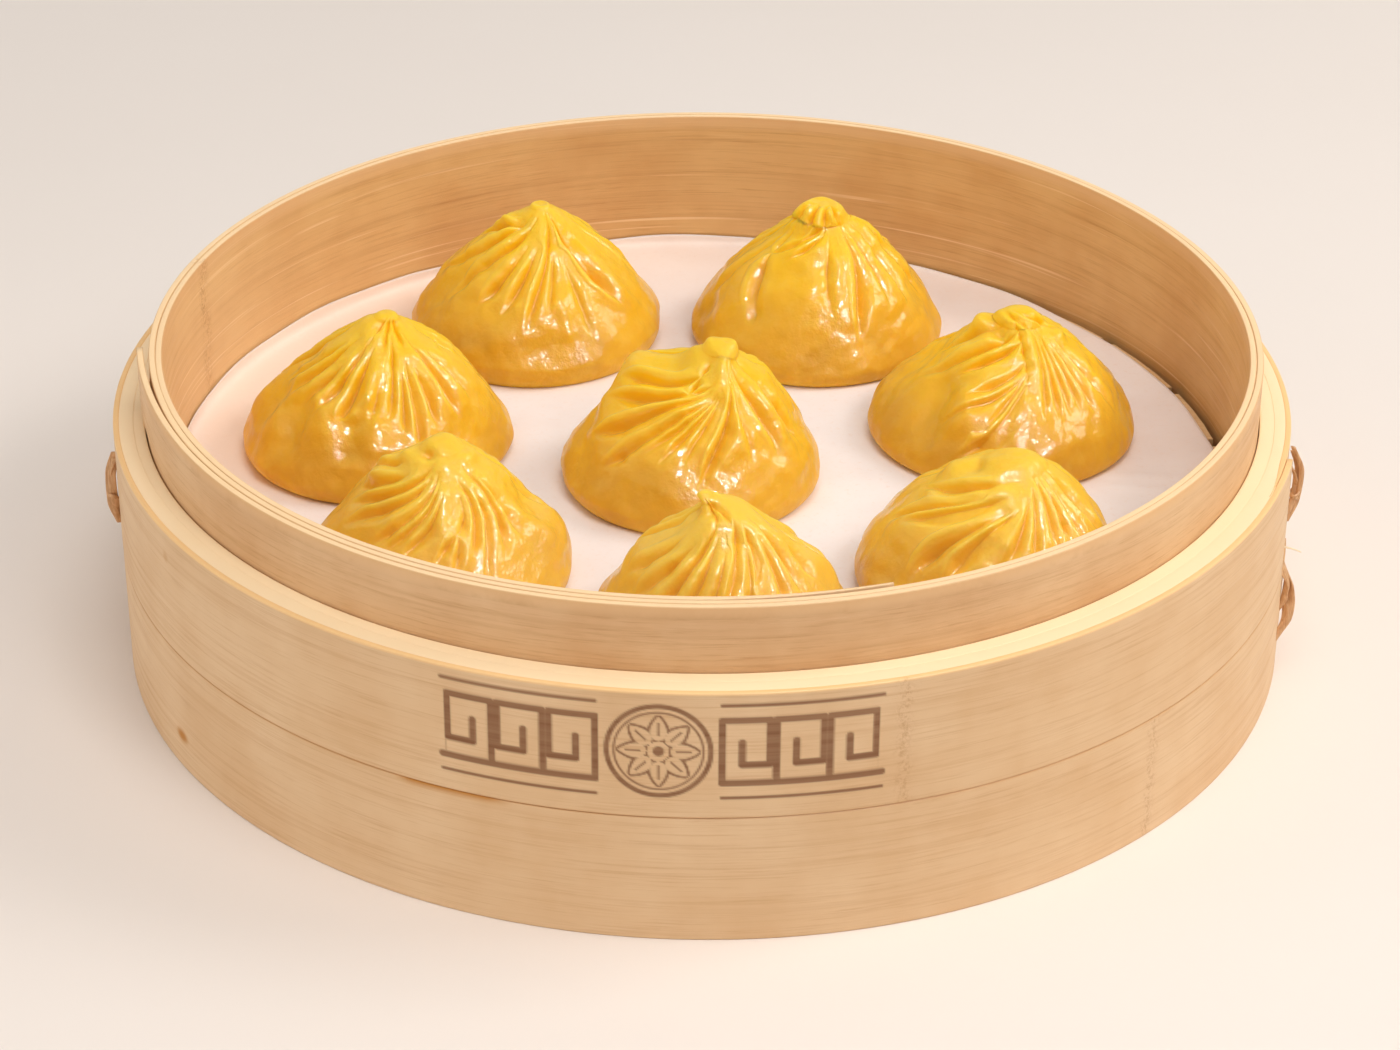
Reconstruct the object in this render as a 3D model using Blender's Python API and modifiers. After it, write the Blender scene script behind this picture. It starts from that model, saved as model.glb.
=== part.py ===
"""Soup dumplings on a paper liner in one tier of a round bamboo steamer.

Metres, +Z up.  The origin is the centre of the basket where it stands on the table.
The basket is a wide inner strip wound a little over two turns, a packing hoop around
it, two stacked outer bands that leave a ledge below the rim, and a slatted floor on
two bars.  A paper disc lies on the slats and carries eight pleated dumplings.
"""

import math

import bmesh
import bpy

# Driving dimensions.
GAP = 0.0003
BAND_RADIUS = 0.115
BAND_LAP_STEP = 0.0010
BAND_INNER_RADIUS = 0.1106
BAND_EDGE_BEVEL = 0.0007
LEDGE_HEIGHT = 0.0505
SEAM_HEIGHT = 0.0256
RIM_HEIGHT = 0.0631
RECESS_HEIGHT = 0.014

RING_CENTRE_Y = 0.0004
RING_START_RADIUS = 0.104
RING_PITCH = 0.0013
RING_THICKNESS = 0.0012
RING_START_ANGLE = math.radians(-72)
RING_WINDING = math.radians(822)
RING_SCARF = math.radians(40)
RING_START_THINNING = 0.45

PACKING_CLOSING = math.radians(60)
PACKING_TOP = LEDGE_HEIGHT - 0.0002
HOOP_STEPS = 60

FLOOR_RADIUS = 0.1036
PAPER_BOTTOM = 0.032
PAPER_THICKNESS = 0.0004
PAPER_RADIUS = 0.1028
PAPER_WAVE = 0.0007
PAPER_STEPS = 48
SLAT_COUNT = 9
SLAT_WIDTH = 0.0200
SLAT_PITCH = 0.0230
SLAT_THICKNESS = 0.003
BAR_WIDTH = 0.012
BAR_HEIGHT = 0.006
BAR_OFFSET = 0.050

LACING_WIRE = 0.0009
LACING_BOW = 0.0006
LACING_STEPS = 9

DUMPLING_BASE = PAPER_BOTTOM + PAPER_THICKNESS + GAP
DUMPLING_RINGS = 9
FOOT_RATIO = 0.86
FLANK_SPACING = 0.9
GATHERED_LEVEL = 0.75
PLEAT_DEPTH = 0.085
LUMP_DEPTH = 0.02
KNOB_LEVEL = 0.93
CREST_FOOT_LEVEL = 0.62
CREST_WIDTH = 0.5
SKIN_SMOOTH_ANGLE = 75

# Upper band, lower band: where each strip's end laps over its own start.
UPPER_LAP_ANGLE = math.radians(-15.2)
LOWER_LAP_ANGLE = math.radians(-8.0)

# name, direction around the wall (degrees), lowest and highest point.
LACINGS = (
    ("lacing_left", -169.0, 0.0310, 0.0450),
    ("lacing_right_upper", -11.5, 0.0335, 0.0490),
    ("lacing_right_lower", -13.5, 0.0080, 0.0260),
)


class Dumpling:
    """The named sizes of one dumpling.

    belly is the level of the widest ring, as a share of the height.  fullness and
    roundness shape the flank above it, and lean carries the peak sideways along X.
    swirl turns the pleats as they gather, and crest raises one side of the pinch.
    """

    def __init__(self, x, y, radius, height, belly, fullness, roundness, lean, pleats,
                 swirl, crest_angle=0.0, crest_reach=0.0):
        self.x = x
        self.y = y
        self.radius = radius
        self.height = height
        self.belly = belly
        self.fullness = fullness
        self.roundness = roundness
        self.lean = lean
        self.pleats = pleats
        self.swirl = swirl
        self.crest_angle = math.radians(crest_angle)
        self.crest_reach = crest_reach


DUMPLINGS = (
    Dumpling(-0.0357, 0.0581, 0.0265, 0.0299, 0.14, 1.25, 0.83, 0.0016, 18, 0.25),
    Dumpling(0.0238, 0.0590, 0.0264, 0.0306, 0.09, 1.42, 0.88, 0.0020, 14, -0.20),
    Dumpling(-0.0650, 0.0077, 0.0268, 0.0291, 0.09, 1.32, 0.85, 0.0031, 16, 0.20, 150, 0.5),
    Dumpling(-0.0025, -0.0055, 0.0254, 0.0296, 0.11, 1.38, 0.85, 0.0070, 14, 0.60, 180, 1.2),
    Dumpling(0.0600, 0.0152, 0.0267, 0.0272, 0.08, 1.60, 1.00, 0.0034, 18, 0.30, 170, 0.7),
    Dumpling(-0.0495, -0.0451, 0.0252, 0.0293, 0.12, 1.20, 0.78, 0.0018, 18, 0.15),
    Dumpling(0.0035, -0.0659, 0.0242, 0.0298, 0.13, 1.18, 0.92, -0.0005, 16, 0.20),
    Dumpling(0.0532, -0.0460, 0.0250, 0.0273, 0.13, 1.49, 0.77, 0.0042, 14, 0.60, 190, 0.8),
)


def smoothstep(low, high, value):
    """0 below low, 1 above high, an S-curve between."""
    t = min(max((value - low) / (high - low), 0.0), 1.0)
    return t * t * (3 - 2 * t)


def start_afresh():
    for old in list(bpy.data.objects):
        bpy.data.objects.remove(old, do_unlink=True)


def make_collection(name):
    collection = bpy.data.collections.new(name)
    bpy.context.scene.collection.children.link(collection)
    return collection


def make_material(name, colour, roughness):
    """A plain non-metal Principled material; colour is linear RGB."""
    material = bpy.data.materials.new(name)
    material.use_nodes = True
    shader = material.node_tree.nodes["Principled BSDF"]
    shader.inputs["Base Color"].default_value = (*colour, 1.0)
    shader.inputs["Roughness"].default_value = roughness
    shader.inputs["Metallic"].default_value = 0.0
    material.diffuse_color = (*colour, 1.0)
    return material


def outline_mesh(name, outlines, thickness):
    """A plate of closed flat outlines (the second one is a hole), lying on z = 0."""
    curve = bpy.data.curves.new(name, "CURVE")
    curve.dimensions = "2D"
    curve.fill_mode = "BOTH"
    curve.extrude = thickness / 2
    for outline in outlines:
        spline = curve.splines.new("POLY")
        spline.points.add(len(outline) - 1)
        for point, (x, y) in zip(spline.points, outline):
            point.co = (x, y, 0.0, 1.0)
        spline.use_cyclic_u = True
    guide = bpy.data.objects.new(name, curve)
    bpy.context.scene.collection.objects.link(guide)
    depsgraph = bpy.context.evaluated_depsgraph_get()
    mesh = bpy.data.meshes.new_from_object(guide.evaluated_get(depsgraph))
    bpy.data.objects.remove(guide, do_unlink=True)
    work = bmesh.new()
    work.from_mesh(mesh)
    bmesh.ops.remove_doubles(work, verts=work.verts, dist=0.00001)
    bmesh.ops.translate(work, verts=work.verts, vec=(0, 0, thickness / 2))
    bmesh.ops.recalc_face_normals(work, faces=work.faces)
    work.to_mesh(mesh)
    work.free()
    mesh.name = name
    return mesh


def place(name, mesh, collection, parent, material, location=(0, 0, 0), smooth_angle=30):
    piece = bpy.data.objects.new(name, mesh)
    piece.location = location
    piece.parent = parent
    collection.objects.link(piece)
    mesh.materials.clear()
    mesh.materials.append(material)
    mesh.shade_smooth()
    mesh.set_sharp_from_angle(angle=math.radians(smooth_angle))
    return piece


def polar(radius, angle, centre_y=0.0):
    return (radius * math.cos(angle), centre_y + radius * math.sin(angle))


def ring_radius(winding):
    """Radius of the wound strip's inner face after this much winding."""
    return RING_START_RADIUS + RING_PITCH * winding / (2 * math.pi)


def ring_outline():
    """The wound strip from above: out along its inner face, back along its outer face.

    It winds clockwise, and both ends are shaved thin so that they leave no bump.
    """
    steps = round(math.degrees(RING_WINDING) / (360 / HOOP_STEPS))
    inner = []
    outer = []
    for step in range(steps + 1):
        winding = RING_WINDING * step / steps
        angle = RING_START_ANGLE - winding
        from_end = min(winding, RING_WINDING - winding)
        thinning = RING_START_THINNING * (1 - smoothstep(0, RING_SCARF, from_end))
        radius = ring_radius(winding)
        inner.append(polar(radius, angle, RING_CENTRE_Y))
        outer.append(polar(radius + RING_THICKNESS * (1 - thinning), angle, RING_CENTRE_Y))
    return inner + outer[::-1]


def packing_outlines():
    """The hoop that fills the space between the wound strip and the outer bands."""
    outside = []
    inside = []
    last_turn = RING_WINDING - 2 * math.pi
    for step in range(HOOP_STEPS):
        past_end = 2 * math.pi * step / HOOP_STEPS
        angle = RING_START_ANGLE - last_turn - past_end
        lift = RING_PITCH * (1 - smoothstep(0, PACKING_CLOSING, past_end))
        radius = ring_radius(last_turn + past_end) + RING_THICKNESS + lift + GAP
        inside.append(polar(radius, angle, RING_CENTRE_Y))
        outside.append(polar(BAND_INNER_RADIUS - GAP, angle))
    return outside, inside


def band_radius(angle, lap_angle):
    """Outer radius of a lapped band: largest at the free end, one step less behind it."""
    turned = (lap_angle - angle) % (2 * math.pi)
    return BAND_RADIUS - BAND_LAP_STEP * turned / (2 * math.pi)


def band_outlines(lap_angle):
    outside = []
    inside = []
    for step in range(HOOP_STEPS + 1):
        turned = 2 * math.pi * step / HOOP_STEPS
        radius = BAND_RADIUS - BAND_LAP_STEP * step / HOOP_STEPS
        outside.append(polar(radius, lap_angle - turned))
    for step in range(HOOP_STEPS):
        inside.append(polar(BAND_INNER_RADIUS, RING_START_ANGLE - 2 * math.pi * step / HOOP_STEPS))
    return outside, inside


def paper_outline():
    """A hand-trimmed disc: the edge wanders a little in and out."""
    points = []
    for step in range(PAPER_STEPS):
        angle = 2 * math.pi * step / PAPER_STEPS
        wave = math.sin(3 * angle + 0.8) + 0.6 * math.sin(7 * angle)
        points.append(polar(PAPER_RADIUS + PAPER_WAVE * (wave - 1), angle, RING_CENTRE_Y))
    return points


def strip_outline(offset, width):
    """A strip along X inside the floor's circle, with ends cut to the circle."""
    low = offset - width / 2
    high = offset + width / 2
    points = []
    for side in (1, -1):
        for step in range(4):
            y = low + width * step / 3 if side == 1 else high - width * step / 3
            points.append((side * math.sqrt(FLOOR_RADIUS**2 - y * y), y))
    return points


def make_basket(collection, parent, bamboo, edge_bamboo):
    ring_mesh = outline_mesh("inner_ring", [ring_outline()], RIM_HEIGHT - RECESS_HEIGHT)
    place("inner_ring", ring_mesh, collection, parent, bamboo, (0, 0, RECESS_HEIGHT))

    packing_mesh = outline_mesh("packing_hoop", packing_outlines(), PACKING_TOP - RECESS_HEIGHT)
    place("packing_hoop", packing_mesh, collection, parent, edge_bamboo, (0, 0, RECESS_HEIGHT))

    for name, lap_angle, low, high in (
        ("outer_band_lower", LOWER_LAP_ANGLE, 0.0, SEAM_HEIGHT - GAP),
        ("outer_band_upper", UPPER_LAP_ANGLE, SEAM_HEIGHT, LEDGE_HEIGHT),
    ):
        mesh = outline_mesh(name, band_outlines(lap_angle), high - low)
        band = place(name, mesh, collection, parent, bamboo, (0, 0, low))
        edges = band.modifiers.new("eased_edges", "BEVEL")
        edges.width = BAND_EDGE_BEVEL
        edges.segments = 1
        edges.limit_method = "ANGLE"
        edges.angle_limit = math.radians(60)


def make_floor(collection, parent, bamboo):
    slat_bottom = PAPER_BOTTOM - GAP - SLAT_THICKNESS
    for number in range(SLAT_COUNT):
        offset = SLAT_PITCH * (number - (SLAT_COUNT - 1) / 2)
        name = f"floor_slat_{number + 1}"
        mesh = outline_mesh(name, [strip_outline(offset, SLAT_WIDTH)], SLAT_THICKNESS)
        place(name, mesh, collection, parent, bamboo, (0, RING_CENTRE_Y, slat_bottom))
    for number, offset in enumerate((-BAR_OFFSET, BAR_OFFSET), start=1):
        name = f"floor_bar_{number}"
        mesh = outline_mesh(name, [strip_outline(offset, BAR_WIDTH)], BAR_HEIGHT)
        location = (0, RING_CENTRE_Y, slat_bottom - GAP - BAR_HEIGHT)
        bar = place(name, mesh, collection, parent, bamboo, location)
        bar.rotation_euler.z = math.radians(90)


def make_paper(collection, parent, paper):
    mesh = outline_mesh("paper_liner", [paper_outline()], PAPER_THICKNESS)
    place("paper_liner", mesh, collection, parent, paper, (0, 0, PAPER_BOTTOM))


def make_lacings(collection, parent, cane):
    """Each lacing is a cane strand that bows off the wall between two holes."""
    for name, degrees, low, high in LACINGS:
        angle = math.radians(degrees)
        lap_angle = LOWER_LAP_ANGLE if high < SEAM_HEIGHT + 0.001 else UPPER_LAP_ANGLE
        wall = max(band_radius(angle, lap_angle), band_radius(angle, LOWER_LAP_ANGLE))
        curve = bpy.data.curves.new(name, "CURVE")
        curve.dimensions = "3D"
        curve.bevel_depth = LACING_WIRE
        curve.bevel_resolution = 2
        curve.use_fill_caps = True
        spline = curve.splines.new("POLY")
        spline.points.add(LACING_STEPS - 1)
        for step, point in enumerate(spline.points):
            along = step / (LACING_STEPS - 1)
            radius = wall + GAP + LACING_WIRE + LACING_BOW * math.sin(math.pi * along)
            x, y = polar(radius, angle)
            point.co = (x, y, low + (high - low) * along, 1.0)
        strand = bpy.data.objects.new(name, curve)
        strand.parent = parent
        curve.materials.append(cane)
        collection.objects.link(strand)


def dumpling_outline(level, shape):
    """Radius (1 at the belly) at this level (0 at the paper, 1 at the peak)."""
    if level < shape.belly:
        under = (shape.belly - level) / shape.belly
        return 1 - (1 - FOOT_RATIO) * under * under
    rise = (level - shape.belly) / (1 - shape.belly)
    return max(1 - rise**shape.fullness, 0.0) ** shape.roundness


def ring_levels(shape):
    """Heights of a dumpling's rings, foot first, closer together towards the belly."""
    levels = [0.0, shape.belly / 2]
    flank_rings = DUMPLING_RINGS - 3
    for ring in range(flank_rings):
        rise = (ring / (flank_rings - 1)) ** FLANK_SPACING
        levels.append(shape.belly + (KNOB_LEVEL - shape.belly) * rise)
    return levels


def dumpling_point(shape, level, azimuth):
    """A point of the skin; azimuth counts along the ribs, which swirl as they gather."""
    gathered = smoothstep(shape.belly, GATHERED_LEVEL, level)
    pleat = PLEAT_DEPTH * gathered * math.cos(shape.pleats * azimuth)
    off_crest = azimuth - shape.crest_angle
    off_crest = math.atan2(math.sin(off_crest), math.cos(off_crest))
    crest_level = smoothstep(CREST_FOOT_LEVEL, KNOB_LEVEL, level)
    crest = shape.crest_reach * crest_level * math.exp(-((off_crest / CREST_WIDTH) ** 2))
    lumps = LUMP_DEPTH * math.cos(2 * azimuth + shape.swirl * 9) * (1 - gathered)
    reach = shape.radius * dumpling_outline(level, shape) * (1 + pleat + crest + lumps)
    turned = azimuth + shape.swirl * gathered
    x = reach * math.cos(turned) + shape.lean * level**2
    return (x, reach * math.sin(turned), shape.height * level)


def make_dumplings(collection, parent, dough):
    """Spheres reshaped ring by ring: flat foot, full belly, pleats that gather at the peak."""
    for number, shape in enumerate(DUMPLINGS, start=1):
        name = f"dumpling_{number}"
        levels = ring_levels(shape)
        mesh = bpy.data.meshes.new(name)
        work = bmesh.new()
        bmesh.ops.create_uvsphere(
            work, u_segments=2 * shape.pleats, v_segments=DUMPLING_RINGS, radius=1.0
        )
        for vertex in work.verts:
            latitude = math.asin(max(-1.0, min(1.0, vertex.co.z)))
            ring = round((latitude / math.pi + 0.5) * DUMPLING_RINGS)
            azimuth = math.atan2(vertex.co.y, vertex.co.x)
            if ring == 0:
                vertex.co = (0, 0, 0)
            elif ring == DUMPLING_RINGS:
                vertex.co = (shape.lean, 0, shape.height)
            else:
                vertex.co = dumpling_point(shape, levels[ring - 1], azimuth)
        bmesh.ops.recalc_face_normals(work, faces=work.faces)
        work.to_mesh(mesh)
        work.free()
        location = (shape.x, shape.y, DUMPLING_BASE)
        place(name, mesh, collection, parent, dough, location, SKIN_SMOOTH_ANGLE)


def main():
    start_afresh()
    collection = make_collection("dumpling_steamer")
    root = bpy.data.objects.new("steamer_root", None)
    collection.objects.link(root)
    bamboo = make_material("bamboo", (0.60, 0.37, 0.18), 0.55)
    edge_bamboo = make_material("bamboo_edge", (0.90, 0.68, 0.42), 0.6)
    paper = make_material("paper", (0.86, 0.72, 0.64), 0.8)
    cane = make_material("cane", (0.50, 0.28, 0.13), 0.6)
    dough = make_material("dough", (0.80, 0.47, 0.07), 0.25)
    make_basket(collection, root, bamboo, edge_bamboo)
    make_floor(collection, root, bamboo)
    make_paper(collection, root, paper)
    make_lacings(collection, root, cane)
    make_dumplings(collection, root, dough)


main()
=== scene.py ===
# %% [markdown]
# # Soup dumplings in a bamboo steamer basket
#
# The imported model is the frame: it holds every piece at its real size.  This lesson gives each
# piece the shape and finish that the plain solid leaves out: wound bamboo strips with open
# ends, a curled paper liner, cane lacings, and eight hand-pleated dumplings.

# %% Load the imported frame
import math

import bpy
import numpy as np
from mathutils import Matrix, Vector


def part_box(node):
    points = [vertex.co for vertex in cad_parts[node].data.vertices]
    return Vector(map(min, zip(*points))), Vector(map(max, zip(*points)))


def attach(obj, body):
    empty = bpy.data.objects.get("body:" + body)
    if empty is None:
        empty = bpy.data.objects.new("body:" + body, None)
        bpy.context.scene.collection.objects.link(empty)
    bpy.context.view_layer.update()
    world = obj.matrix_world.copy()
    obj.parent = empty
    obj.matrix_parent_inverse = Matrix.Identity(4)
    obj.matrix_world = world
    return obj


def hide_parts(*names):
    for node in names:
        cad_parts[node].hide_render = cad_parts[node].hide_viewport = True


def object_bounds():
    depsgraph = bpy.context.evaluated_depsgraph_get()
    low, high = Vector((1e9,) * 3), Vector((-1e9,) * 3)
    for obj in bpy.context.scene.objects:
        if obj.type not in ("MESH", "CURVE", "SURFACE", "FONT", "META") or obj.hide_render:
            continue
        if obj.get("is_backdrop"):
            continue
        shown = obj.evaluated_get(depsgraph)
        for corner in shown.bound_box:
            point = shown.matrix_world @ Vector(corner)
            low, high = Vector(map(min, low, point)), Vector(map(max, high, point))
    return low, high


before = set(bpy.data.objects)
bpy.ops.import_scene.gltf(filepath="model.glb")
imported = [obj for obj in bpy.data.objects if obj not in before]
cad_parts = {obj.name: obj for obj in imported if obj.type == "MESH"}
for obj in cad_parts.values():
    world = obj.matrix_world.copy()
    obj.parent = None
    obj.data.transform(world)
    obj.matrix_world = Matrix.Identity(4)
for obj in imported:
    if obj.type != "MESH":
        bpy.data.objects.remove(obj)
CAD_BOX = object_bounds()
MM = 0.001
print("the frame has", len(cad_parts), "nodes")

# %% [markdown]
# ## Camera
#
# The basket is looked down on from about 29 degrees, with a long lens from 0.7 m, as food is
# often shown.  The camera is turned with two rotations: one tips it down, and a very small one
# levels the basket in the frame.

# %% Make the camera
CAMERA_PLACE = (-0.0006, -0.6109, 0.3604)
CAMERA_ELEVATION = 0.510
CAMERA_ROLL = 0.006
LENS_MM = 89.9
SENSOR_MM = 36.0

camera_data = bpy.data.cameras.new("camera")
camera_data.lens = LENS_MM
camera_data.sensor_width = SENSOR_MM
camera_data.clip_start = 0.05
camera_data.clip_end = 30.0
camera = bpy.data.objects.new("camera", camera_data)
bpy.context.scene.collection.objects.link(camera)
tip = Matrix.Rotation(math.pi / 2 - CAMERA_ELEVATION, 4, "X")
level_up = Matrix.Rotation(CAMERA_ROLL, 4, "Z")
camera.matrix_world = Matrix.Translation(CAMERA_PLACE) @ tip @ level_up
bpy.context.scene.camera = camera
print("camera at", [round(c, 3) for c in CAMERA_PLACE], "m")

# %% [markdown]
# ## Materials are small networks
#
# Four short helpers keep the networks readable: one turns a screen colour into the linear light
# that the renderer works in, one adds a node and wires its inputs, one starts a new material,
# and one mixes two colours.

# %% Helpers for nodes and colours
bpy.context.scene.view_settings.view_transform = "Standard"


def linear(red, green, blue):
    """Linear colour from 0-255 screen values: (c / 255 + 0.055) / 1.055, to the power 2.4."""
    screen = np.array([red, green, blue]) / 255
    light = np.where(screen < 0.04045, screen / 12.92, ((screen + 0.055) / 1.055) ** 2.4)
    return (*light.tolist(), 1.0)


def add_node(tree, kind, inputs=None, **settings):
    """One shader node.  An input is a number, or another node's output socket."""
    node = tree.nodes.new(kind)
    for key, value in settings.items():
        setattr(node, key, value)
    for key, value in (inputs or {}).items():
        if isinstance(value, bpy.types.NodeSocket):
            tree.links.new(value, node.inputs[key])
        else:
            node.inputs[key].default_value = value
    return node


def new_finish(name):
    """A material with its tree, its shader and nothing else."""
    finish = bpy.data.materials.new(name)
    finish.use_nodes = True
    tree = finish.node_tree
    return finish, tree, tree.nodes["Principled BSDF"]


def mixed(tree, share, first, second, blend="MIX"):
    """Colour socket: the first colour where share is 0, the second where it is 1."""
    node = add_node(tree, "ShaderNodeMix", data_type="RGBA", blend_type=blend)
    for socket, value in ((0, share), (6, first), (7, second)):
        if isinstance(value, bpy.types.NodeSocket):
            tree.links.new(value, node.inputs[socket])
        else:
            node.inputs[socket].default_value = value
    return node.outputs[2]


print("middle grey is", round(linear(128, 128, 128)[0], 3), "in linear light")

# %% [markdown]
# ## Numbers that steer the colours
#
# A pattern gives one number at every place.  These helpers make a noise pattern, carry its
# number to another range, combine two numbers, or read one that the mesh itself carries.

# %% Helpers for numbers


def spread(tree, value, low, high, to_low=0.0, to_high=1.0):
    """Number socket: value carried from the range low..high to to_low..to_high, and clamped."""
    inputs = {"Value": value, "From Min": low, "From Max": high,
              "To Min": to_low, "To Max": to_high}
    return add_node(tree, "ShaderNodeMapRange", inputs).outputs[0]


def noise(tree, where, scale, detail=3.0, roughness=0.55, distortion=0.0):
    """Number socket: soft noise, with about scale spots to the metre."""
    inputs = {"Vector": where, "Scale": scale, "Detail": detail, "Roughness": roughness,
              "Distortion": distortion}
    return add_node(tree, "ShaderNodeTexNoise", inputs).outputs[0]


def calculated(tree, operation, first, second=0.0):
    """Number socket: one sum, product or other operation on two numbers."""
    return add_node(tree, "ShaderNodeMath", {0: first, 1: second}, operation=operation).outputs[0]


def field_of(tree, name):
    """A number that the mesh carries at each vertex."""
    return add_node(tree, "ShaderNodeAttribute", attribute_name=name).outputs["Fac"]


print("helpers for colours and numbers are ready")

# %% [markdown]
# ## Bamboo
#
# Split bamboo shows long straight fibres.  Noise that is squeezed across the strip and
# stretched along it gives them at three sizes: broad tone, fibre bundles and single hairs.
# Each strip carries a vector attribute, `grain`, that already runs along the strip, so that the
# fibres follow every bend.

# %% The fibres of bamboo
GRAIN_SQUEEZE = 1 / 90
BURN_BROWN = linear(120, 70, 34)
RESIN_AND_PAINTED_SHADE = linear(190, 120, 26)
SCAR_BROWN = linear(176, 116, 62)
INSIDE_TINT = (0.99, 0.93, 0.70, 1.0)


def fibre_places(tree, place, along_x):
    """Two stretched places to read noise at: long fibres, and shorter ones.

    A bent strip carries its own place, the attribute grain.  A slat has none: along_x tells
    whether its fibres run along X or along Y.
    """
    if along_x is None:
        grain = add_node(tree, "ShaderNodeAttribute", attribute_name="grain").outputs["Vector"]
        shorter = (2.6, 2.6, 1.0)
    else:
        squeeze = (GRAIN_SQUEEZE, 1.0, 1.0) if along_x else (1.0, GRAIN_SQUEEZE, 1.0)
        grain = add_node(tree, "ShaderNodeMapping", {"Vector": place, "Scale": squeeze}).outputs[0]
        shorter = (2.6, 1.0, 1.0) if along_x else (1.0, 2.6, 1.0)
    short = add_node(tree, "ShaderNodeMapping", {"Vector": grain, "Scale": shorter}).outputs[0]
    return grain, short


def worn_strip(tree, place, grain, bundles, colour, height, edge):
    """Colour and height of a bent strip with its marks.

    The inside is browner with pale scratches, the cut edges are pale, and scars, resin and
    burns are where the mesh says.  The mesh also puts painted light into the edge field and
    painted warm shade into the resin field.  Scars and burns lie a little deeper.
    """
    inside = field_of(tree, "inside")
    colour = mixed(tree, inside, colour, INSIDE_TINT, "MULTIPLY")
    moved = add_node(tree, "ShaderNodeMapping", {"Vector": grain, "Location": (3.0, 5.0, 1.0),
                                                 "Scale": (1.5, 1.5, 1.0)}).outputs[0]
    scratches = spread(tree, noise(tree, moved, 1150.0, 2.0, 0.5, 0.25), 0.62, 0.72, 0.0, 0.5)
    colour = mixed(tree, calculated(tree, "MULTIPLY", scratches, inside), colour, edge)
    # The edge field: the pale cut edges, and on the inner ring also a patch of painted light.
    cut = calculated(tree, "MULTIPLY", field_of(tree, "edge"), 0.85)
    colour = mixed(tree, cut, colour, edge)
    rough = spread(tree, noise(tree, place, 1400.0, 4.0, 0.7), 0.45, 0.62)
    scar = calculated(tree, "MULTIPLY", field_of(tree, "scar"), rough)
    colour = mixed(tree, scar, colour, SCAR_BROWN)
    # The resin field holds resin, and also painted warm shade along the seam of the bands and at the
    # top corners of the ring.
    colour = mixed(tree, field_of(tree, "resin"), colour, RESIN_AND_PAINTED_SHADE)
    burn = field_of(tree, "burn")
    uneven = calculated(tree, "MULTIPLY", burn, spread(tree, bundles, 0.2, 0.7, 1.0, 0.72))
    colour = mixed(tree, uneven, colour, BURN_BROWN)
    height = calculated(tree, "SUBTRACT", height, calculated(tree, "MULTIPLY", scar, 2.0))
    height = calculated(tree, "SUBTRACT", height, calculated(tree, "MULTIPLY", burn, 1.5))
    return colour, height


print("fibres are stretched", round(1 / GRAIN_SQUEEZE), "times their width")

# %% [markdown]
# ## One finish for every bamboo piece
#
# All pieces share the same fibres and differ only in their tones, so one function makes every
# bamboo finish.  The outer bands are the palest, the inner ring is browner, and the cut tops
# are cream.

# %% The bamboo finishes


def bamboo_finish(name, pale, mean, deep, edge=None, along_x=None):
    """Bamboo in three tones.  edge is the tone of a bent strip's cut edges."""
    finish, tree, shader = new_finish(name)
    place = add_node(tree, "ShaderNodeTexCoord").outputs["Object"]
    grain, short = fibre_places(tree, place, along_x)
    clouds = noise(tree, place, 42.0, 3.0, 0.6)
    bundles = noise(tree, grain, 760.0, 4.0, 0.6)
    hairs = noise(tree, short, 2300.0, 4.0, 0.7)
    splinters = noise(tree, short, 1500.0, 2.0, 0.5)
    colour = mixed(tree, spread(tree, clouds, 0.36, 0.64), mean, pale)
    colour = mixed(tree, spread(tree, bundles, 0.52, 0.74, 0.0, 0.30), colour, deep)
    colour = mixed(tree, spread(tree, bundles, 0.44, 0.28, 0.0, 0.35), colour, pale)
    colour = mixed(tree, spread(tree, hairs, 0.52, 0.74, 0.0, 0.48), colour, deep)
    colour = mixed(tree, spread(tree, splinters, 0.66, 0.74, 0.0, 0.5), colour, pale)
    height = calculated(tree, "ADD", calculated(tree, "MULTIPLY", bundles, 0.5), hairs)
    if edge is not None:
        colour, height = worn_strip(tree, place, grain, bundles, colour, height, edge)
    relief = add_node(tree, "ShaderNodeBump", {"Height": height, "Strength": 0.6,
                                               "Distance": 0.00012})
    tree.links.new(colour, shader.inputs["Base Color"])
    tree.links.new(spread(tree, bundles, 0.3, 0.7, 0.46, 0.62), shader.inputs["Roughness"])
    tree.links.new(relief.outputs[0], shader.inputs["Normal"])
    shader.inputs["Specular IOR Level"].default_value = 0.3
    return finish


band_bamboo = bamboo_finish("band_bamboo", linear(230, 195, 153), linear(222, 183, 138),
                            linear(194, 144, 96), edge=linear(249, 206, 144))
edge_bamboo = bamboo_finish("edge_bamboo", linear(252, 232, 200), linear(249, 225, 186),
                            linear(232, 198, 150), edge=linear(252, 226, 184))
ring_bamboo = bamboo_finish("ring_bamboo", linear(227, 188, 143), linear(216, 172, 125),
                            linear(181, 128, 75), edge=linear(254, 220, 172))
FLOOR_TONES = linear(232, 196, 148), linear(222, 182, 130), linear(188, 140, 88)
floor_bamboo = bamboo_finish("floor_bamboo", *FLOOR_TONES, along_x=True)
bar_bamboo = bamboo_finish("bar_bamboo", *FLOOR_TONES, along_x=False)
print("bamboo finishes are ready")

# %% [markdown]
# ## One way to make every surface
#
# A surface is a stack of closed rings of points, made as one numpy array.  Neighbouring rings
# are joined by four-sided faces, and the two ends are either joined to each other or closed by
# a fan.  The enclosed volume tells whether the faces point outwards.

# %% A mesh from rings of points


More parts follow.
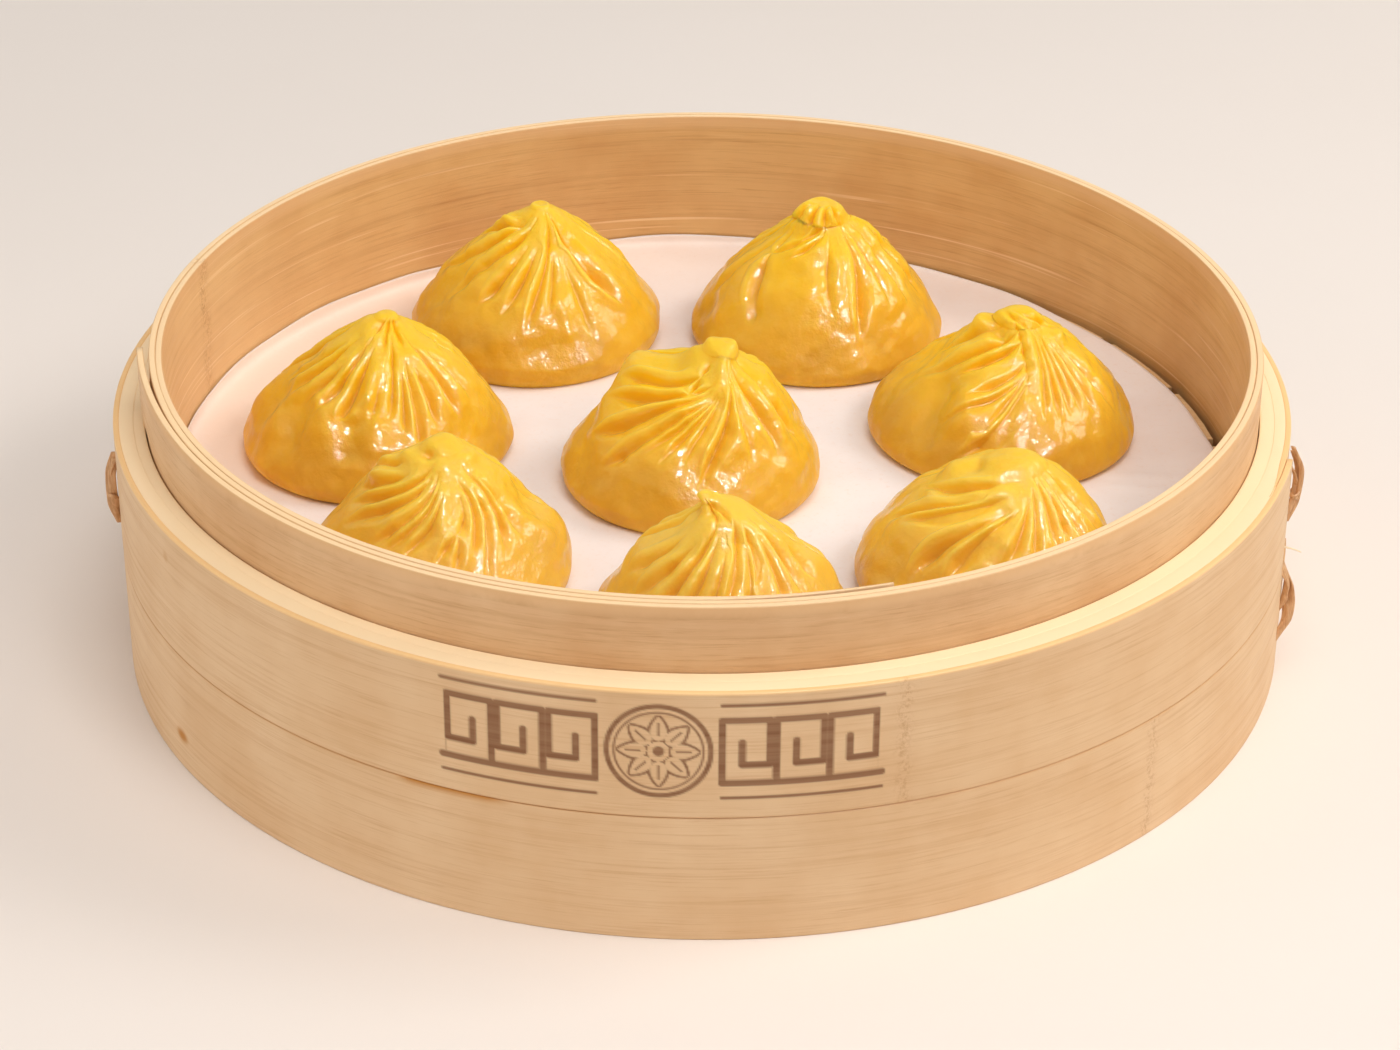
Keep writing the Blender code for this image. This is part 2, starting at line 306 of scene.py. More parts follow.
def skin_faces(rings, around, loop):
    """Four corner numbers for each face between neighbouring rings."""
    corner = np.arange(rings * around).reshape(rings, around)
    beside = np.roll(corner, -1, axis=1)
    if loop:
        here, here_beside = corner, beside
        above, above_beside = np.roll(corner, -1, axis=0), np.roll(beside, -1, axis=0)
    else:
        here, here_beside, above, above_beside = corner[:-1], beside[:-1], corner[1:], beside[1:]
    return np.stack([here, here_beside, above_beside, above], axis=-1).reshape(-1, 4)


def fan_faces(ring, centre, outward):
    """Three corner numbers for each face between a ring and the point that closes it."""
    beside = np.roll(ring, -1)
    middle = np.full_like(ring, centre)
    return np.stack([ring, beside, middle] if outward else [beside, ring, middle], axis=-1)


def surface(name, points, finish, ends=None, fields=None, vectors=None):
    """Closed mesh object from points[ring, place on the ring].

    ends holds the two points that close the first and last ring; without them the last ring
    joins the first.  fields and vectors are numbers and vectors that each point carries.
    """
    rings, around = points.shape[:2]
    places = points.reshape(-1, 3)
    quads = skin_faces(rings, around, ends is None)
    fans = np.zeros((0, 3), int)
    if ends is not None:
        first = np.arange(around)
        last = first + (rings - 1) * around
        fans = np.concatenate([fan_faces(first, len(places), False),
                               fan_faces(last, len(places) + 1, True)])
        places = np.concatenate([places, np.asarray(ends, float)])
    halves = np.concatenate([quads[:, :3], quads[:, [0, 2, 3]], fans])
    a, b, c = places[halves[:, 0]], places[halves[:, 1]], places[halves[:, 2]]
    if np.einsum("ij,ij->", a, np.cross(b, c)) < 0:
        quads, fans = quads[:, ::-1], fans[:, ::-1]
    mesh = bpy.data.meshes.new(name)
    mesh.vertices.add(len(places))
    mesh.vertices.foreach_set("co", places.ravel())
    corners = np.concatenate([quads.ravel(), fans.ravel()])
    sizes = np.concatenate([np.full(len(quads), 4), np.full(len(fans), 3)])
    mesh.loops.add(len(corners))
    mesh.loops.foreach_set("vertex_index", corners)
    mesh.polygons.add(len(sizes))
    mesh.polygons.foreach_set("loop_start", np.cumsum(sizes) - sizes)
    mesh.update(calc_edges=True)
    mesh.shade_smooth()
    for kind, size, given in (("FLOAT", 1, fields or {}), ("FLOAT_VECTOR", 3, vectors or {})):
        for key, values in given.items():
            values = np.asarray(values, float).reshape(-1, size)
            if ends is not None:
                values = np.concatenate([values, values[:1], values[-1:]])
            attribute = mesh.attributes.new(key, kind, "POINT")
            attribute.data.foreach_set("value" if size == 1 else "vector", values.ravel())
    made = bpy.data.objects.new(name, mesh)
    bpy.context.scene.collection.objects.link(made)
    mesh.materials.append(finish)
    print(f"{name}: {len(quads) * 2 + len(fans)} triangles")
    return made


def settle(piece, slot, *nodes):
    """The piece rides on the basket and stands for these CAD nodes, which are hidden.  slot is not
    used.
    """
    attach(piece, "root")
    if nodes:
        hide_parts(*nodes)


# %% [markdown]
# ## Strips bent round a circle
#
# Every hoop of the basket is a flat strip of bamboo, steamed and bent.  Its cross-section is a
# thin box with rounded edges, and it is carried round the circle while its radius changes a
# little, so that the strip laps over or under itself.

# %% Cross-section and sweep of a strip
GRAIN_STRETCH = 120.0
GRAIN_DRIFT = 0.05
INNER_SKIN = 0.1 * MM
EDGE_WIDTH = 0.6 * MM


def smoothstep(low, high, value):
    """0 below low, 1 above high, and 3t² - 2t³ between."""
    t = np.clip((value - low) / (high - low), 0, 1)
    return t * t * (3 - 2 * t)


def around_bump(angles, degrees, width):
    """1 at one direction, falling off beside it as e^-(off / width)^2, both in degrees."""
    off = np.degrees(np.angle(np.exp(1j * (angles - math.radians(degrees)))))
    return np.exp(-((off / width) ** 2))


def strip_section(thickness, low, high, rounding, face_rows, back_rows=6):
    """Rounded box as (depth, height) points: out along the foot, up the outside, and back."""
    turn = np.linspace(0, math.pi / 2, 5)
    corners = []
    for centre_depth, centre_height, start in (
            (thickness - rounding, low + rounding, -math.pi / 2),
            (thickness - rounding, high - rounding, 0.0),
            (rounding, high - rounding, math.pi / 2),
            (rounding, low + rounding, math.pi)):
        corners.append(np.stack([centre_depth + rounding * np.cos(start + turn),
                                 centre_height + rounding * np.sin(start + turn)], axis=-1))
    rise = np.linspace(low + rounding, high - rounding, face_rows + 1)[1:-1]
    outside = np.stack([np.full_like(rise, thickness), rise], axis=-1)
    fall = np.linspace(high - rounding, low + rounding, back_rows + 1)[1:-1]
    inside = np.stack([np.zeros_like(fall), fall], axis=-1)
    return np.concatenate([corners[0], outside, corners[1], corners[2], inside, corners[3]])


def bent_strip(name, finish, angles, radii, section, centre_y=0.0, thinning=None, closed=False,
               spread_out=None, height_change=None, marks=None):
    """Strip whose inner face follows angles and radii.

    Point = centre + (radius + depth * thinning) * (cos angle, sin angle), and its height.
    spread_out(heights) pushes points outwards, height_change lifts the top edge, and
    marks(angles, heights, depths) gives the fields of scars, resin, burns and cut edges; the
    resin field may also hold painted warm shade, and the edge field painted light.
    """
    depth = section[None, :, 0] * (1.0 if thinning is None else thinning[:, None])
    height = np.broadcast_to(section[None, :, 1], (len(angles), len(section))).copy()
    if height_change is not None:
        middle = (section[:, 1].min() + section[:, 1].max()) / 2
        height = height + np.where(section[None, :, 1] > middle, height_change[:, None], 0.0)
    radius = radii[:, None] + depth
    if spread_out is not None:
        radius = radius + spread_out(height)
    direction = np.stack([np.cos(angles), np.sin(angles)], axis=-1)
    points = np.empty((len(angles), len(section), 3))
    points[..., 0] = radius * direction[:, None, 0]
    points[..., 1] = radius * direction[:, None, 1] + centre_y
    points[..., 2] = height
    steps = np.diff(section, axis=0, append=section[:1])
    around = np.cumsum(np.hypot(steps[:, 0], steps[:, 1]))
    wound = np.abs(angles - angles[0])
    grain = np.empty_like(points)
    along = (radii + GRAIN_DRIFT * wound / (2 * math.pi)) / GRAIN_STRETCH
    grain[..., 0] = (along * direction[:, 0])[:, None]
    grain[..., 1] = (along * direction[:, 1])[:, None]
    grain[..., 2] = around[None, :]
    top = section[:, 1].max()
    near_top = smoothstep(top - EDGE_WIDTH, top - 0.2 * EDGE_WIDTH, section[:, 1])
    fields = {"scar": np.zeros(height.shape), "resin": np.zeros(height.shape),
              "burn": np.zeros(height.shape), "edge": np.broadcast_to(near_top, height.shape),
              "inside": np.broadcast_to(section[:, 0] < INNER_SKIN, height.shape)}
    if marks is not None:
        fields.update(marks(np.broadcast_to(angles[:, None], height.shape), height, depth))
    ends = None if closed else (points[0].mean(axis=0), points[-1].mean(axis=0))
    return surface(name, points, finish, ends, fields, {"grain": grain})


STRIP_SEED = 7
rng = np.random.default_rng(STRIP_SEED)


def gentle_wave(angles, reach, count=5):
    """Smooth wander along a hoop: a sum of sines of random phase, at most about reach."""
    orders = np.arange(1, count + 1)
    phases = rng.uniform(0, 2 * math.pi, count)
    sizes = rng.uniform(0.4, 1.0, count) * reach / count * 1.6
    return (sizes * np.sin(angles[:, None] * orders + phases)).sum(axis=1)


print("the cut edge of a strip shows for", EDGE_WIDTH / MM, "mm")

# %% [markdown]
# ## The burnt ornament
#
# The front of the upper band carries a mark burnt into the bamboo.  Here it is a plain ornament:
# an eight-petalled rosette between two lengths of key fret.  Each stroke is found from its
# distance to a line or an arc, and the result is a number at each vertex, 1 where it is burnt.

# %% Work out the ornament
MARK_ANGLE = math.radians(-93.7)
MARK_WIDTH = 77 * MM
MARK_HEIGHT = 18.5 * MM
MARK_MIDDLE = 38.9 * MM
STROKE = 0.62 * MM
FRET_PITCH = 8.4 * MM
ROSETTE_RADIUS = 8.9 * MM


def stroke(distance, half_width):
    """1 on the line, 0 away from it, with an edge as soft as a branding iron leaves."""
    return 1 - smoothstep(half_width - 0.14 * MM, half_width + 0.20 * MM, distance)


def segment_distance(x, y, start, end):
    """Distance from points to a straight line between start and end."""
    dx, dy = end[0] - start[0], end[1] - start[1]
    t = np.clip(((x - start[0]) * dx + (y - start[1]) * dy) / (dx * dx + dy * dy), 0, 1)
    return np.hypot(x - start[0] - t * dx, y - start[1] - t * dy)


def rosette(x, y):
    """Two rings, eight pointed petals and a seed at the centre."""
    radius = np.hypot(x, y)
    turn = math.pi / 4
    from_petal = np.abs((np.arctan2(y, x) + turn / 2) % turn - turn / 2)
    share = np.clip((radius - 1.9 * MM) / (ROSETTE_RADIUS - 3.6 * MM), 0, 1)
    petal_half = 1.75 * MM * np.sin(math.pi * share**0.75) ** 0.8
    off_axis = radius * np.sin(from_petal)
    inside = (share > 0) & (share < 1)
    outline = np.where(inside, stroke(np.abs(off_axis - petal_half), 0.26 * MM), 0)
    rib = np.where((share > 0.2) & (share < 0.72), stroke(off_axis, 0.14 * MM), 0)
    rings = stroke(np.abs(radius - ROSETTE_RADIUS), 0.42 * MM)
    rings = np.maximum(rings, stroke(np.abs(radius - ROSETTE_RADIUS + 1.25 * MM), 0.16 * MM))
    seed = stroke(radius, 0.95 * MM)
    return np.maximum.reduce([outline, rib, rings, seed])


def key_fret(x, y):
    """Square spirals in a row, between two border lines; x is measured from the rosette."""
    half = MARK_HEIGHT / 2
    first = ROSETTE_RADIUS + 1.9 * MM
    last = MARK_WIDTH / 2
    cells = round((last - first) / FRET_PITCH)
    pitch = (last - first) / cells
    in_strip = (x > first - STROKE) & (x < last + STROKE)
    u = (x - first) % pitch
    top, side = half - 3.0 * MM, pitch - 1.1 * MM
    path = [(0.0, -top), (0.0, top), (side, top), (side, -top * 0.42), (side * 0.42, -top * 0.42),
            (side * 0.42, top * 0.30)]
    near = np.full(x.shape, 1.0)
    for start, end in zip(path[:-1], path[1:]):
        near = np.minimum(near, segment_distance(u, y, start, end))
        near = np.minimum(near, segment_distance(u - pitch, y, start, end))
    foot = segment_distance(x, y, (first, -top), (last, -top))
    borders = np.minimum(segment_distance(x, y, (first, half), (last, half)),
                         segment_distance(x, y, (first, -half), (last, -half)))
    body = np.where((x > first - STROKE) & (x < last - 0.6 * MM), stroke(near, STROKE), 0)
    return np.where(in_strip, np.maximum.reduce([body, stroke(foot, STROKE),
                                                 stroke(borders, 0.30 * MM)]), 0)


def ornament(angles, heights, radius):
    """How deeply each point is burnt."""
    x = (angles - MARK_ANGLE) * radius
    y = heights - MARK_MIDDLE
    return np.maximum(rosette(x, y), key_fret(np.abs(x), y))


print("the ornament is", round(MARK_WIDTH / MM), "mm wide")

# %% [markdown]
# ## The two outer bands
#
# Each band is a thick hoop with one thin outer strip wound round it.  The strip's free end shows
# as a small step at the right, because the strip is laced down there.  The points are close
# together only where the ornament and the small marks are, to keep the mesh light.

# %% Make the outer bands
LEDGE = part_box("outer_band_upper")[1].z
SEAM = (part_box("outer_band_upper")[0].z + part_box("outer_band_lower")[1].z) / 2
BAND_RADIUS = 0.115
STRIP_THICKNESS = 1.15 * MM
STRIP_STEP = 1.2 * MM
STRIP_TAIL = math.radians(8)
TAIL_THINNING = 0.9
CORE_INNER = 110.6 * MM
CORE_DEPTH = 3 * MM
UPPER_LAP = math.radians(-15.2)
LOWER_LAP = math.radians(-8.0)
# stretches that carry the ornament or a small mark: from, to and step, in degrees
UPPER_DETAIL = ((-151.0, -146.0, 0.25), (-116.0, -71.0, 0.15))
LOWER_DETAIL = ((-150.0, -145.0, 0.25), (-119.0, -106.0, 0.5), (-47.0, -43.0, 0.2))
# where the nodes of the bamboo left scars, in degrees
UPPER_SCARS = (-72.6, 68.0, 171.0)
LOWER_SCARS = (-45.2, 120.0)
# a spot of resin: direction in degrees, height, half width and half height in mm, and strength
UPPER_SPOT = (-148.5, 44.9, 1.0, 1.1, 0.3)
LOWER_SPOT = (-147.8, 7.2, 2.2, 1.3, 0.9)
# resin has run along the seam at the front left: where it fades in and out, in degrees
RUN_STARTS = (-118.5, -116.0)
RUN_ENDS = (-109.0, -106.0)


def node_scars(turned, heights, directions):
    """Ragged upright lines, where the stem of the bamboo had its nodes."""
    scar = np.zeros(heights.shape)
    for degrees in directions:
        across = (turned - math.radians(degrees)) * BAND_RADIUS
        across = across + 0.35 * MM * np.sin(heights * 900) + 0.2 * MM * np.sin(heights * 2300)
        scar = np.maximum(scar, np.exp(-((across / (1.2 * MM)) ** 2)))
    return scar


def resin_spot(turned, heights, spot):
    """An oval of resin with a soft edge."""
    degrees, height, wide, tall, strength = spot
    across = (turned - math.radians(degrees)) * BAND_RADIUS / (wide * MM)
    up = (heights - height * MM) / (tall * MM)
    return strength * np.exp(-((across**2 + up**2) ** 2))


def strip_marks(with_ornament):
    """Fields of one outer strip: node scars, resin, painted warm shade along the seam and the burnt
    ornament.
    """
    def marks(angles, heights, depth):
        turned = (angles + math.pi) % (2 * math.pi) - math.pi
        outside = smoothstep(0.5, 0.9, depth / STRIP_THICKNESS)
        scar = node_scars(turned, heights, UPPER_SCARS if with_ornament else LOWER_SCARS)
        resin = resin_spot(turned, heights, UPPER_SPOT if with_ornament else LOWER_SPOT)
        burn = np.zeros(heights.shape)
        if with_ornament:
            burn = ornament(turned, heights, BAND_RADIUS)
        else:
            degrees = np.degrees(turned)
            along = smoothstep(*RUN_STARTS, degrees) * (1 - smoothstep(*RUN_ENDS, degrees))
            at_seam = np.exp(-(((heights - SEAM) / (0.9 * MM)) ** 2))
            resin = np.maximum(resin, 0.9 * at_seam * along)
        # Painted warm shade along the seam, where the two bands meet, carried in the resin field.
        from_seam = np.abs(heights - SEAM)
        resin = np.maximum(resin, 0.42 * (1 - smoothstep(0.08 * MM, 0.34 * MM, from_seam)))
        made = {"scar": 0.36 * scar * outside, "resin": resin * outside, "burn": burn * outside}
        return made if with_ornament else made | {"edge": np.zeros(heights.shape)}
    return marks


def wound_angles(lap, stretches):
    """Angles round one turn and its tail, clockwise, closer together over the fine stretches."""
    wound = np.linspace(0, 2 * math.pi + STRIP_TAIL, 300)
    for low, high, step in stretches:
        fine = np.sort(lap - np.radians(np.arange(low, high, step)))
        kept = wound[(wound < fine[0]) | (wound > fine[-1])]
        wound = np.sort(np.concatenate([kept, fine]))
    return lap - wound


def outer_band(name, node, lap, low, high, with_ornament):
    """The thin strip and the thick core of one band."""
    angles = wound_angles(lap, UPPER_DETAIL if with_ornament else LOWER_DETAIL)
    wound = lap - angles
    tail = smoothstep(2 * math.pi, 2 * math.pi + STRIP_TAIL, wound)
    radii = BAND_RADIUS - STRIP_THICKNESS - STRIP_STEP * wound / (2 * math.pi)
    radii = radii + TAIL_THINNING * tail * STRIP_THICKNESS
    section = strip_section(STRIP_THICKNESS, low, high, 0.26 * MM, 84 if with_ornament else 40)
    strip = bent_strip(name + "_strip", band_bamboo, angles, radii, section,
                       thinning=1 - TAIL_THINNING * tail,
                       height_change=gentle_wave(wound, 0.10 * MM),
                       marks=strip_marks(with_ornament))
    turns = np.linspace(0, 2 * math.pi, 240, endpoint=False)
    outer = BAND_RADIUS - STRIP_THICKNESS - STRIP_STEP * turns / (2 * math.pi) + 0.2 * MM
    under_lap = 1 - smoothstep(0, STRIP_TAIL, turns)
    outer = outer - STRIP_STEP * under_lap
    core_section = strip_section(CORE_DEPTH, low + 0.1 * MM, high - 0.12 * MM, 0.12 * MM, 6)
    core = bent_strip(name + "_core", edge_bamboo, lap - turns,
                      np.full(len(turns), CORE_INNER), core_section,
                      thinning=(outer - CORE_INNER) / CORE_DEPTH, closed=True)
    for piece, slot in ((strip, "bamboo_band"), (core, "bamboo_edge")):
        settle(piece, slot, node)


outer_band("upper_band", "outer_band_upper", UPPER_LAP, SEAM, LEDGE, True)
outer_band("lower_band", "outer_band_lower", LOWER_LAP, 0.0, SEAM, False)

# %% [markdown]
# ## The wound inner ring
#
# One long strip, wound two and a quarter turns, stands up above the bands and holds the lid of
# the next basket.  It starts inside at the front right, where its thin end shows as a notch, and
# it ends outside at the left, where the layers spring a little apart.

# %% Make the inner ring and the packing behind it
RING_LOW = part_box("inner_ring")[0].z
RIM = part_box("inner_ring")[1].z
RING_CENTRE_Y = 0.4 * MM
RING_START_RADIUS = 104.0 * MM
RING_PITCH = 1.3 * MM
RING_THICKNESS = 1.30 * MM
RING_START = math.radians(-72)
RING_WINDING = math.radians(822)
RING_STEPS = 720
FLARE_LENGTH = math.radians(20)
RING_SCAR_AT = math.radians(165.2)


def ring_radius(winding):
    """Radius of the strip's inner face: it grows by one pitch a turn."""
    return RING_START_RADIUS + RING_PITCH * winding / (2 * math.pi)


def ring_marks(angles, heights, depth):
    """A rough scar, a patch of painted light inside at the left, a pale top, and painted warm shade at
    its corners.
    """
    turned = (angles + math.pi) % (2 * math.pi) - math.pi
    across = (turned - RING_SCAR_AT) * RING_START_RADIUS
    across = across + 0.7 * MM * np.sin(heights * 420) + 0.3 * MM * np.sin(heights * 1700)
    inside = 1 - smoothstep(0.1, 0.5, depth / RING_THICKNESS)
    scar = np.exp(-((across / (1.3 * MM)) ** 2)) * inside
    from_side = np.minimum(depth, RING_THICKNESS - depth)
    top = smoothstep(RIM - 0.8 * MM, RIM - 0.3 * MM, heights)
    # Painted light: the inner face at the left is made paler, as that wall faces the key lamp.  It
    # goes into the edge field.
    pale = 0.35 * around_bump(turned, 168, 26) * inside
    # Painted warm shade along the top corners, where the wound layers meet.  It goes into the resin
    # field.
    corner = top * (1 - smoothstep(0.05 * MM, 0.24 * MM, from_side))
    return {"scar": 0.6 * scar, "edge": np.maximum(top, pale), "resin": 0.45 * corner}


winding = np.linspace(0, RING_WINDING, RING_STEPS)
angles = RING_START - winding
from_start = smoothstep(0, math.radians(26), winding)
thinning = 0.45 + 0.55 * from_start
to_tip = RING_WINDING - winding
tip_flare = np.clip(1 - to_tip / FLARE_LENGTH, 0, 1) ** 2.0
second_turn = RING_WINDING - 2 * math.pi - winding
under_tip = np.exp(-(((second_turn - math.radians(10)) / math.radians(9)) ** 2))


def ring_flare(height):
    """Above the ledge the tip springs outwards, and the turn under it bows a little."""
    above = smoothstep(LEDGE, LEDGE + 2.5 * MM, height)
    return above * (1.0 * MM * tip_flare - 0.14 * MM * under_tip)[:, None]


ring_section = strip_section(RING_THICKNESS, RING_LOW, RIM - 0.12 * MM, 0.24 * MM, 24, 16)
inner_ring = bent_strip("inner_ring_strip", ring_bamboo, angles, ring_radius(winding),
                        ring_section, RING_CENTRE_Y, thinning, spread_out=ring_flare,
                        height_change=gentle_wave(winding * 0.8, 0.11 * MM, 6), marks=ring_marks)
settle(inner_ring, "bamboo_ring", "inner_ring")

past = np.linspace(0, 2 * math.pi, 240, endpoint=False)
last_turn = RING_WINDING - 2 * math.pi
closing = RING_PITCH * (1 - smoothstep(0, math.radians(60), past))
at_left = around_bump(RING_START - last_turn - past, -150, 34)
packing_inner = ring_radius(last_turn + past) + RING_THICKNESS + closing + 0.22 * MM
packing_inner = packing_inner + 0.08 * MM * at_left
packing_low, packing_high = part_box("packing_hoop")[0].z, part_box("packing_hoop")[1].z
packing_section = strip_section(1 * MM, packing_low, packing_high, 0.16 * MM, 6)
packing = bent_strip("packing_strip", edge_bamboo, RING_START - last_turn - past, packing_inner,
                     packing_section, RING_CENTRE_Y,
                     (CORE_INNER + 0.3 * MM - packing_inner) / MM, closed=True)
settle(packing, "bamboo_edge", "packing_hoop")

# %% [markdown]
# ## Floor slats and bars
#
# The slats and bars under the paper already have the right shape, so they keep their CAD solids
# and only get a finish.  Their fibres run along each piece, so the slats read the X direction as
# long and the bars the Y direction.

# %% Finish the slats and bars
for node_name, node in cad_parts.items():
    if not node_name.startswith("floor"):
        continue
    low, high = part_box(node_name)
    runs_along_x = high.x - low.x > high.y - low.y
    node.data.materials.clear()
    node.data.materials.append(floor_bamboo if runs_along_x else bar_bamboo)
print("floor pieces finished")

# %% [markdown]
# ## Paper liner
#
# A disc of steamer paper lies on the slats.  It is cut a little unevenly: at the back and left it
# reaches the wall and curls up it, and at the right it stops short.  The profile runs straight
# out, then turns up where it meets the wall, and the steam leaves soft cockles in it.

# %% The paper finish
paper_finish, tree, shader = new_finish("liner_paper")
place = add_node(tree, "ShaderNodeTexCoord").outputs["Object"]
fibres = noise(tree, place, 900.0, 5.0, 0.7, 0.4)
clouds = noise(tree, place, 45.0, 3.0)
colour = mixed(tree, spread(tree, clouds, 0.35, 0.7), linear(247, 239, 237), linear(241, 229, 225))
colour = mixed(tree, spread(tree, fibres, 0.55, 0.75, 0.0, 0.45), colour, linear(236, 212, 196))
# Painted shade: the paper is made darker and warmer near the wall, as the bamboo wall shades it and
# throws warm light on it.
colour = mixed(tree, field_of(tree, "near_wall"), colour, linear(240, 214, 192))
tree.links.new(colour, shader.inputs["Base Color"])
shader.inputs["Roughness"].default_value = 0.62
shader.inputs["Specular IOR Level"].default_value = 0.3
cockle = noise(tree, place, 160.0, 3.0, 0.5)
paper_height = calculated(tree, "ADD", cockle, calculated(tree, "MULTIPLY", fibres, 0.12))
relief = add_node(tree, "ShaderNodeBump", {"Height": paper_height, "Strength": 0.35,
                                           "Distance": 0.0004})
tree.links.new(relief.outputs[0], shader.inputs["Normal"])
print("the paper finish is ready")

# %% Make the paper
PAPER_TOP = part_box("paper_liner")[1].z
PAPER_THICKNESS = 0.15 * MM
PAPER_RINGS = 96
PAPER_AROUND = 400
CURL = 0.7 * MM
# soft waves: how many round the disc, how fast they follow outwards, and their height in mm
COCKLES = ((5, 60, 0.10), (9, 95, 0.09), (14, 150, 0.06), (3, 40, 0.12))
# two small folds at the right: where each starts beside the middle line, and how it bends
FOLDS = ((-3.5 * MM, 0.10), (-7.0 * MM, 0.22))
FOLDS_START = 76 * MM


def wall_radius(angles):
    """Inner face of the first turn of the wound ring at these angles."""
    return ring_radius((RING_START - angles) % (2 * math.pi))


def paper_edge(angles):
    """Length of paper from the centre, less the radius of the wall: above 0 it climbs."""
    reach = 0.2 * MM + 3.4 * MM * around_bump(angles, 146, 26)
    reach = reach + 2.2 * MM * around_bump(angles, 96, 24) + 0.9 * MM * around_bump(angles, 178, 14)
    reach = reach - 3.0 * MM * around_bump(angles, 12, 20) - 1.6 * MM * around_bump(angles, 40, 12)
    reach = reach + 0.25 * MM * np.sin(9 * angles) + 0.15 * MM * np.sin(23 * angles + 1)
    return reach


around = np.linspace(0, 2 * math.pi, PAPER_AROUND, endpoint=False)
turn_at = wall_radius(around) - 0.35 * MM
length = turn_at - 0.05 * MM + paper_edge(around)
share = np.linspace(0.004, 1, PAPER_RINGS)[:, None] ** 0.6
along = share * length[None, :]
past_turn = CURL * np.logaddexp(0, (along - turn_at[None, :]) / CURL)
radius = along - past_turn
cockles = np.zeros_like(radius)
for order, rings_out, size in COCKLES:
    phase = rng.uniform(0, 2 * math.pi, 2)
    cockles += size * MM * np.sin(order * around + phase[0]) * np.sin(radius * rings_out + phase[1])
cockles *= smoothstep(0.0, 0.05, radius)
for start_y, bend in FOLDS:
    run = radius * np.cos(around) - FOLDS_START
    across = radius * np.sin(around) - start_y + bend * run
    span = smoothstep(0, 5 * MM, run) * (1 - smoothstep(18 * MM, 24 * MM, run))
    cockles += 0.35 * MM * span * np.exp(-((across / (1.4 * MM)) ** 2))
lip = past_turn * 0.92
top = np.empty((PAPER_RINGS, PAPER_AROUND, 3))
top[..., 0] = radius * np.cos(around)
top[..., 1] = radius * np.sin(around) + RING_CENTRE_Y
top[..., 2] = PAPER_TOP - 0.2 * MM + cockles + lip
under = top.copy()
under[..., 2] -= PAPER_THICKNESS
shell = np.concatenate([top, under[::-1]])
middle = ((0, RING_CENTRE_Y, top[0, :, 2].mean()), (0, RING_CENTRE_Y, under[0, :, 2].mean()))
# How strong the painted shade near the wall is round the disc, strongest at the back left.
painted_wall_shade = 0.1 + 0.6 * around_bump(around, 150, 65)
near_wall = painted_wall_shade * smoothstep(62 * MM, 100 * MM, radius)
paper = surface("paper_sheet", shell, paper_finish, middle,
                {"near_wall": np.concatenate([near_wall, near_wall[::-1]])})
settle(paper, "liner_paper", "paper_liner")

# %% [markdown]
# ## Cane lacings
#
# Split cane ties the lapped ends of the bands down.  Each lacing is three flat strands that come
# out of the wall, bow off it, cross and go back in, and short turns of cane hold some of them.
# A strand is a flattened circle carried along its path while it turns.

# %% The cane finish
cane_finish, tree, shader = new_finish("cane")
place = add_node(tree, "ShaderNodeTexCoord").outputs["Object"]
squeezed = add_node(tree, "ShaderNodeMapping", {"Vector": place, "Scale": (1, 1, 0.12)}).outputs[0]
strands = noise(tree, squeezed, 2400.0, 4.0, 0.6)
colour = mixed(tree, spread(tree, strands, 0.35, 0.65), linear(190, 138, 88), linear(222, 176, 128))
tree.links.new(colour, shader.inputs["Base Color"])
shader.inputs["Roughness"].default_value = 0.5
relief = add_node(tree, "ShaderNodeBump", {"Height": strands, "Strength": 0.5, "Distance": 0.0001})
tree.links.new(relief.outputs[0], shader.inputs["Normal"])
print("the cane finish is ready")

# %% Make the lacings
STRAND_RINGS = 64
STRAND_SIDES = 14


def strand(angle, low, high, bow, loops, lean, side, wide, thick, turns, start=0.0):
    """Rings of one strand, from the height low to high.  All its lengths are given in mm.

    It bows off the wall as |sin(pi * loops * t^lean)|, its two ends go into the wall, and its
    flat cross-section turns as it goes.
    """
    low, high, bow, side, wide, thick = np.array([low, high, bow, side, wide, thick]) * MM
    t = np.linspace(0, 1, STRAND_RINGS)
    wave = np.abs(np.sin(math.pi * loops * t**lean)) ** 0.7
    window = np.sqrt(np.minimum(smoothstep(0, 0.3, t), 1 - smoothstep(0.7, 1, t)))
    out = BAND_RADIUS - 0.5 * MM + window * (0.5 * MM + bow * (0.3 + 0.7 * wave))
    sideways = side * np.sin(2 * math.pi * (t * loops / 2 + start))
    radial = np.array([math.cos(angle), math.sin(angle), 0])
    across = np.array([-math.sin(angle), math.cos(angle), 0])
    centre = radial * out[:, None] + across * sideways[:, None]
    centre[:, 2] = low + (high - low) * t
    twist = math.pi * (turns * t + start)
    rim = np.linspace(0, 2 * math.pi, STRAND_SIDES, endpoint=False)
    flat, deep = wide * np.cos(rim)[None, :], thick * np.sin(rim)[None, :]
    u = flat * np.cos(twist)[:, None] - deep * np.sin(twist)[:, None]
    v = flat * np.sin(twist)[:, None] + deep * np.cos(twist)[:, None]
    rings = centre[:, None, :] + across * u[..., None] + radial * v[..., None]
    return rings, (centre[0], centre[-1])


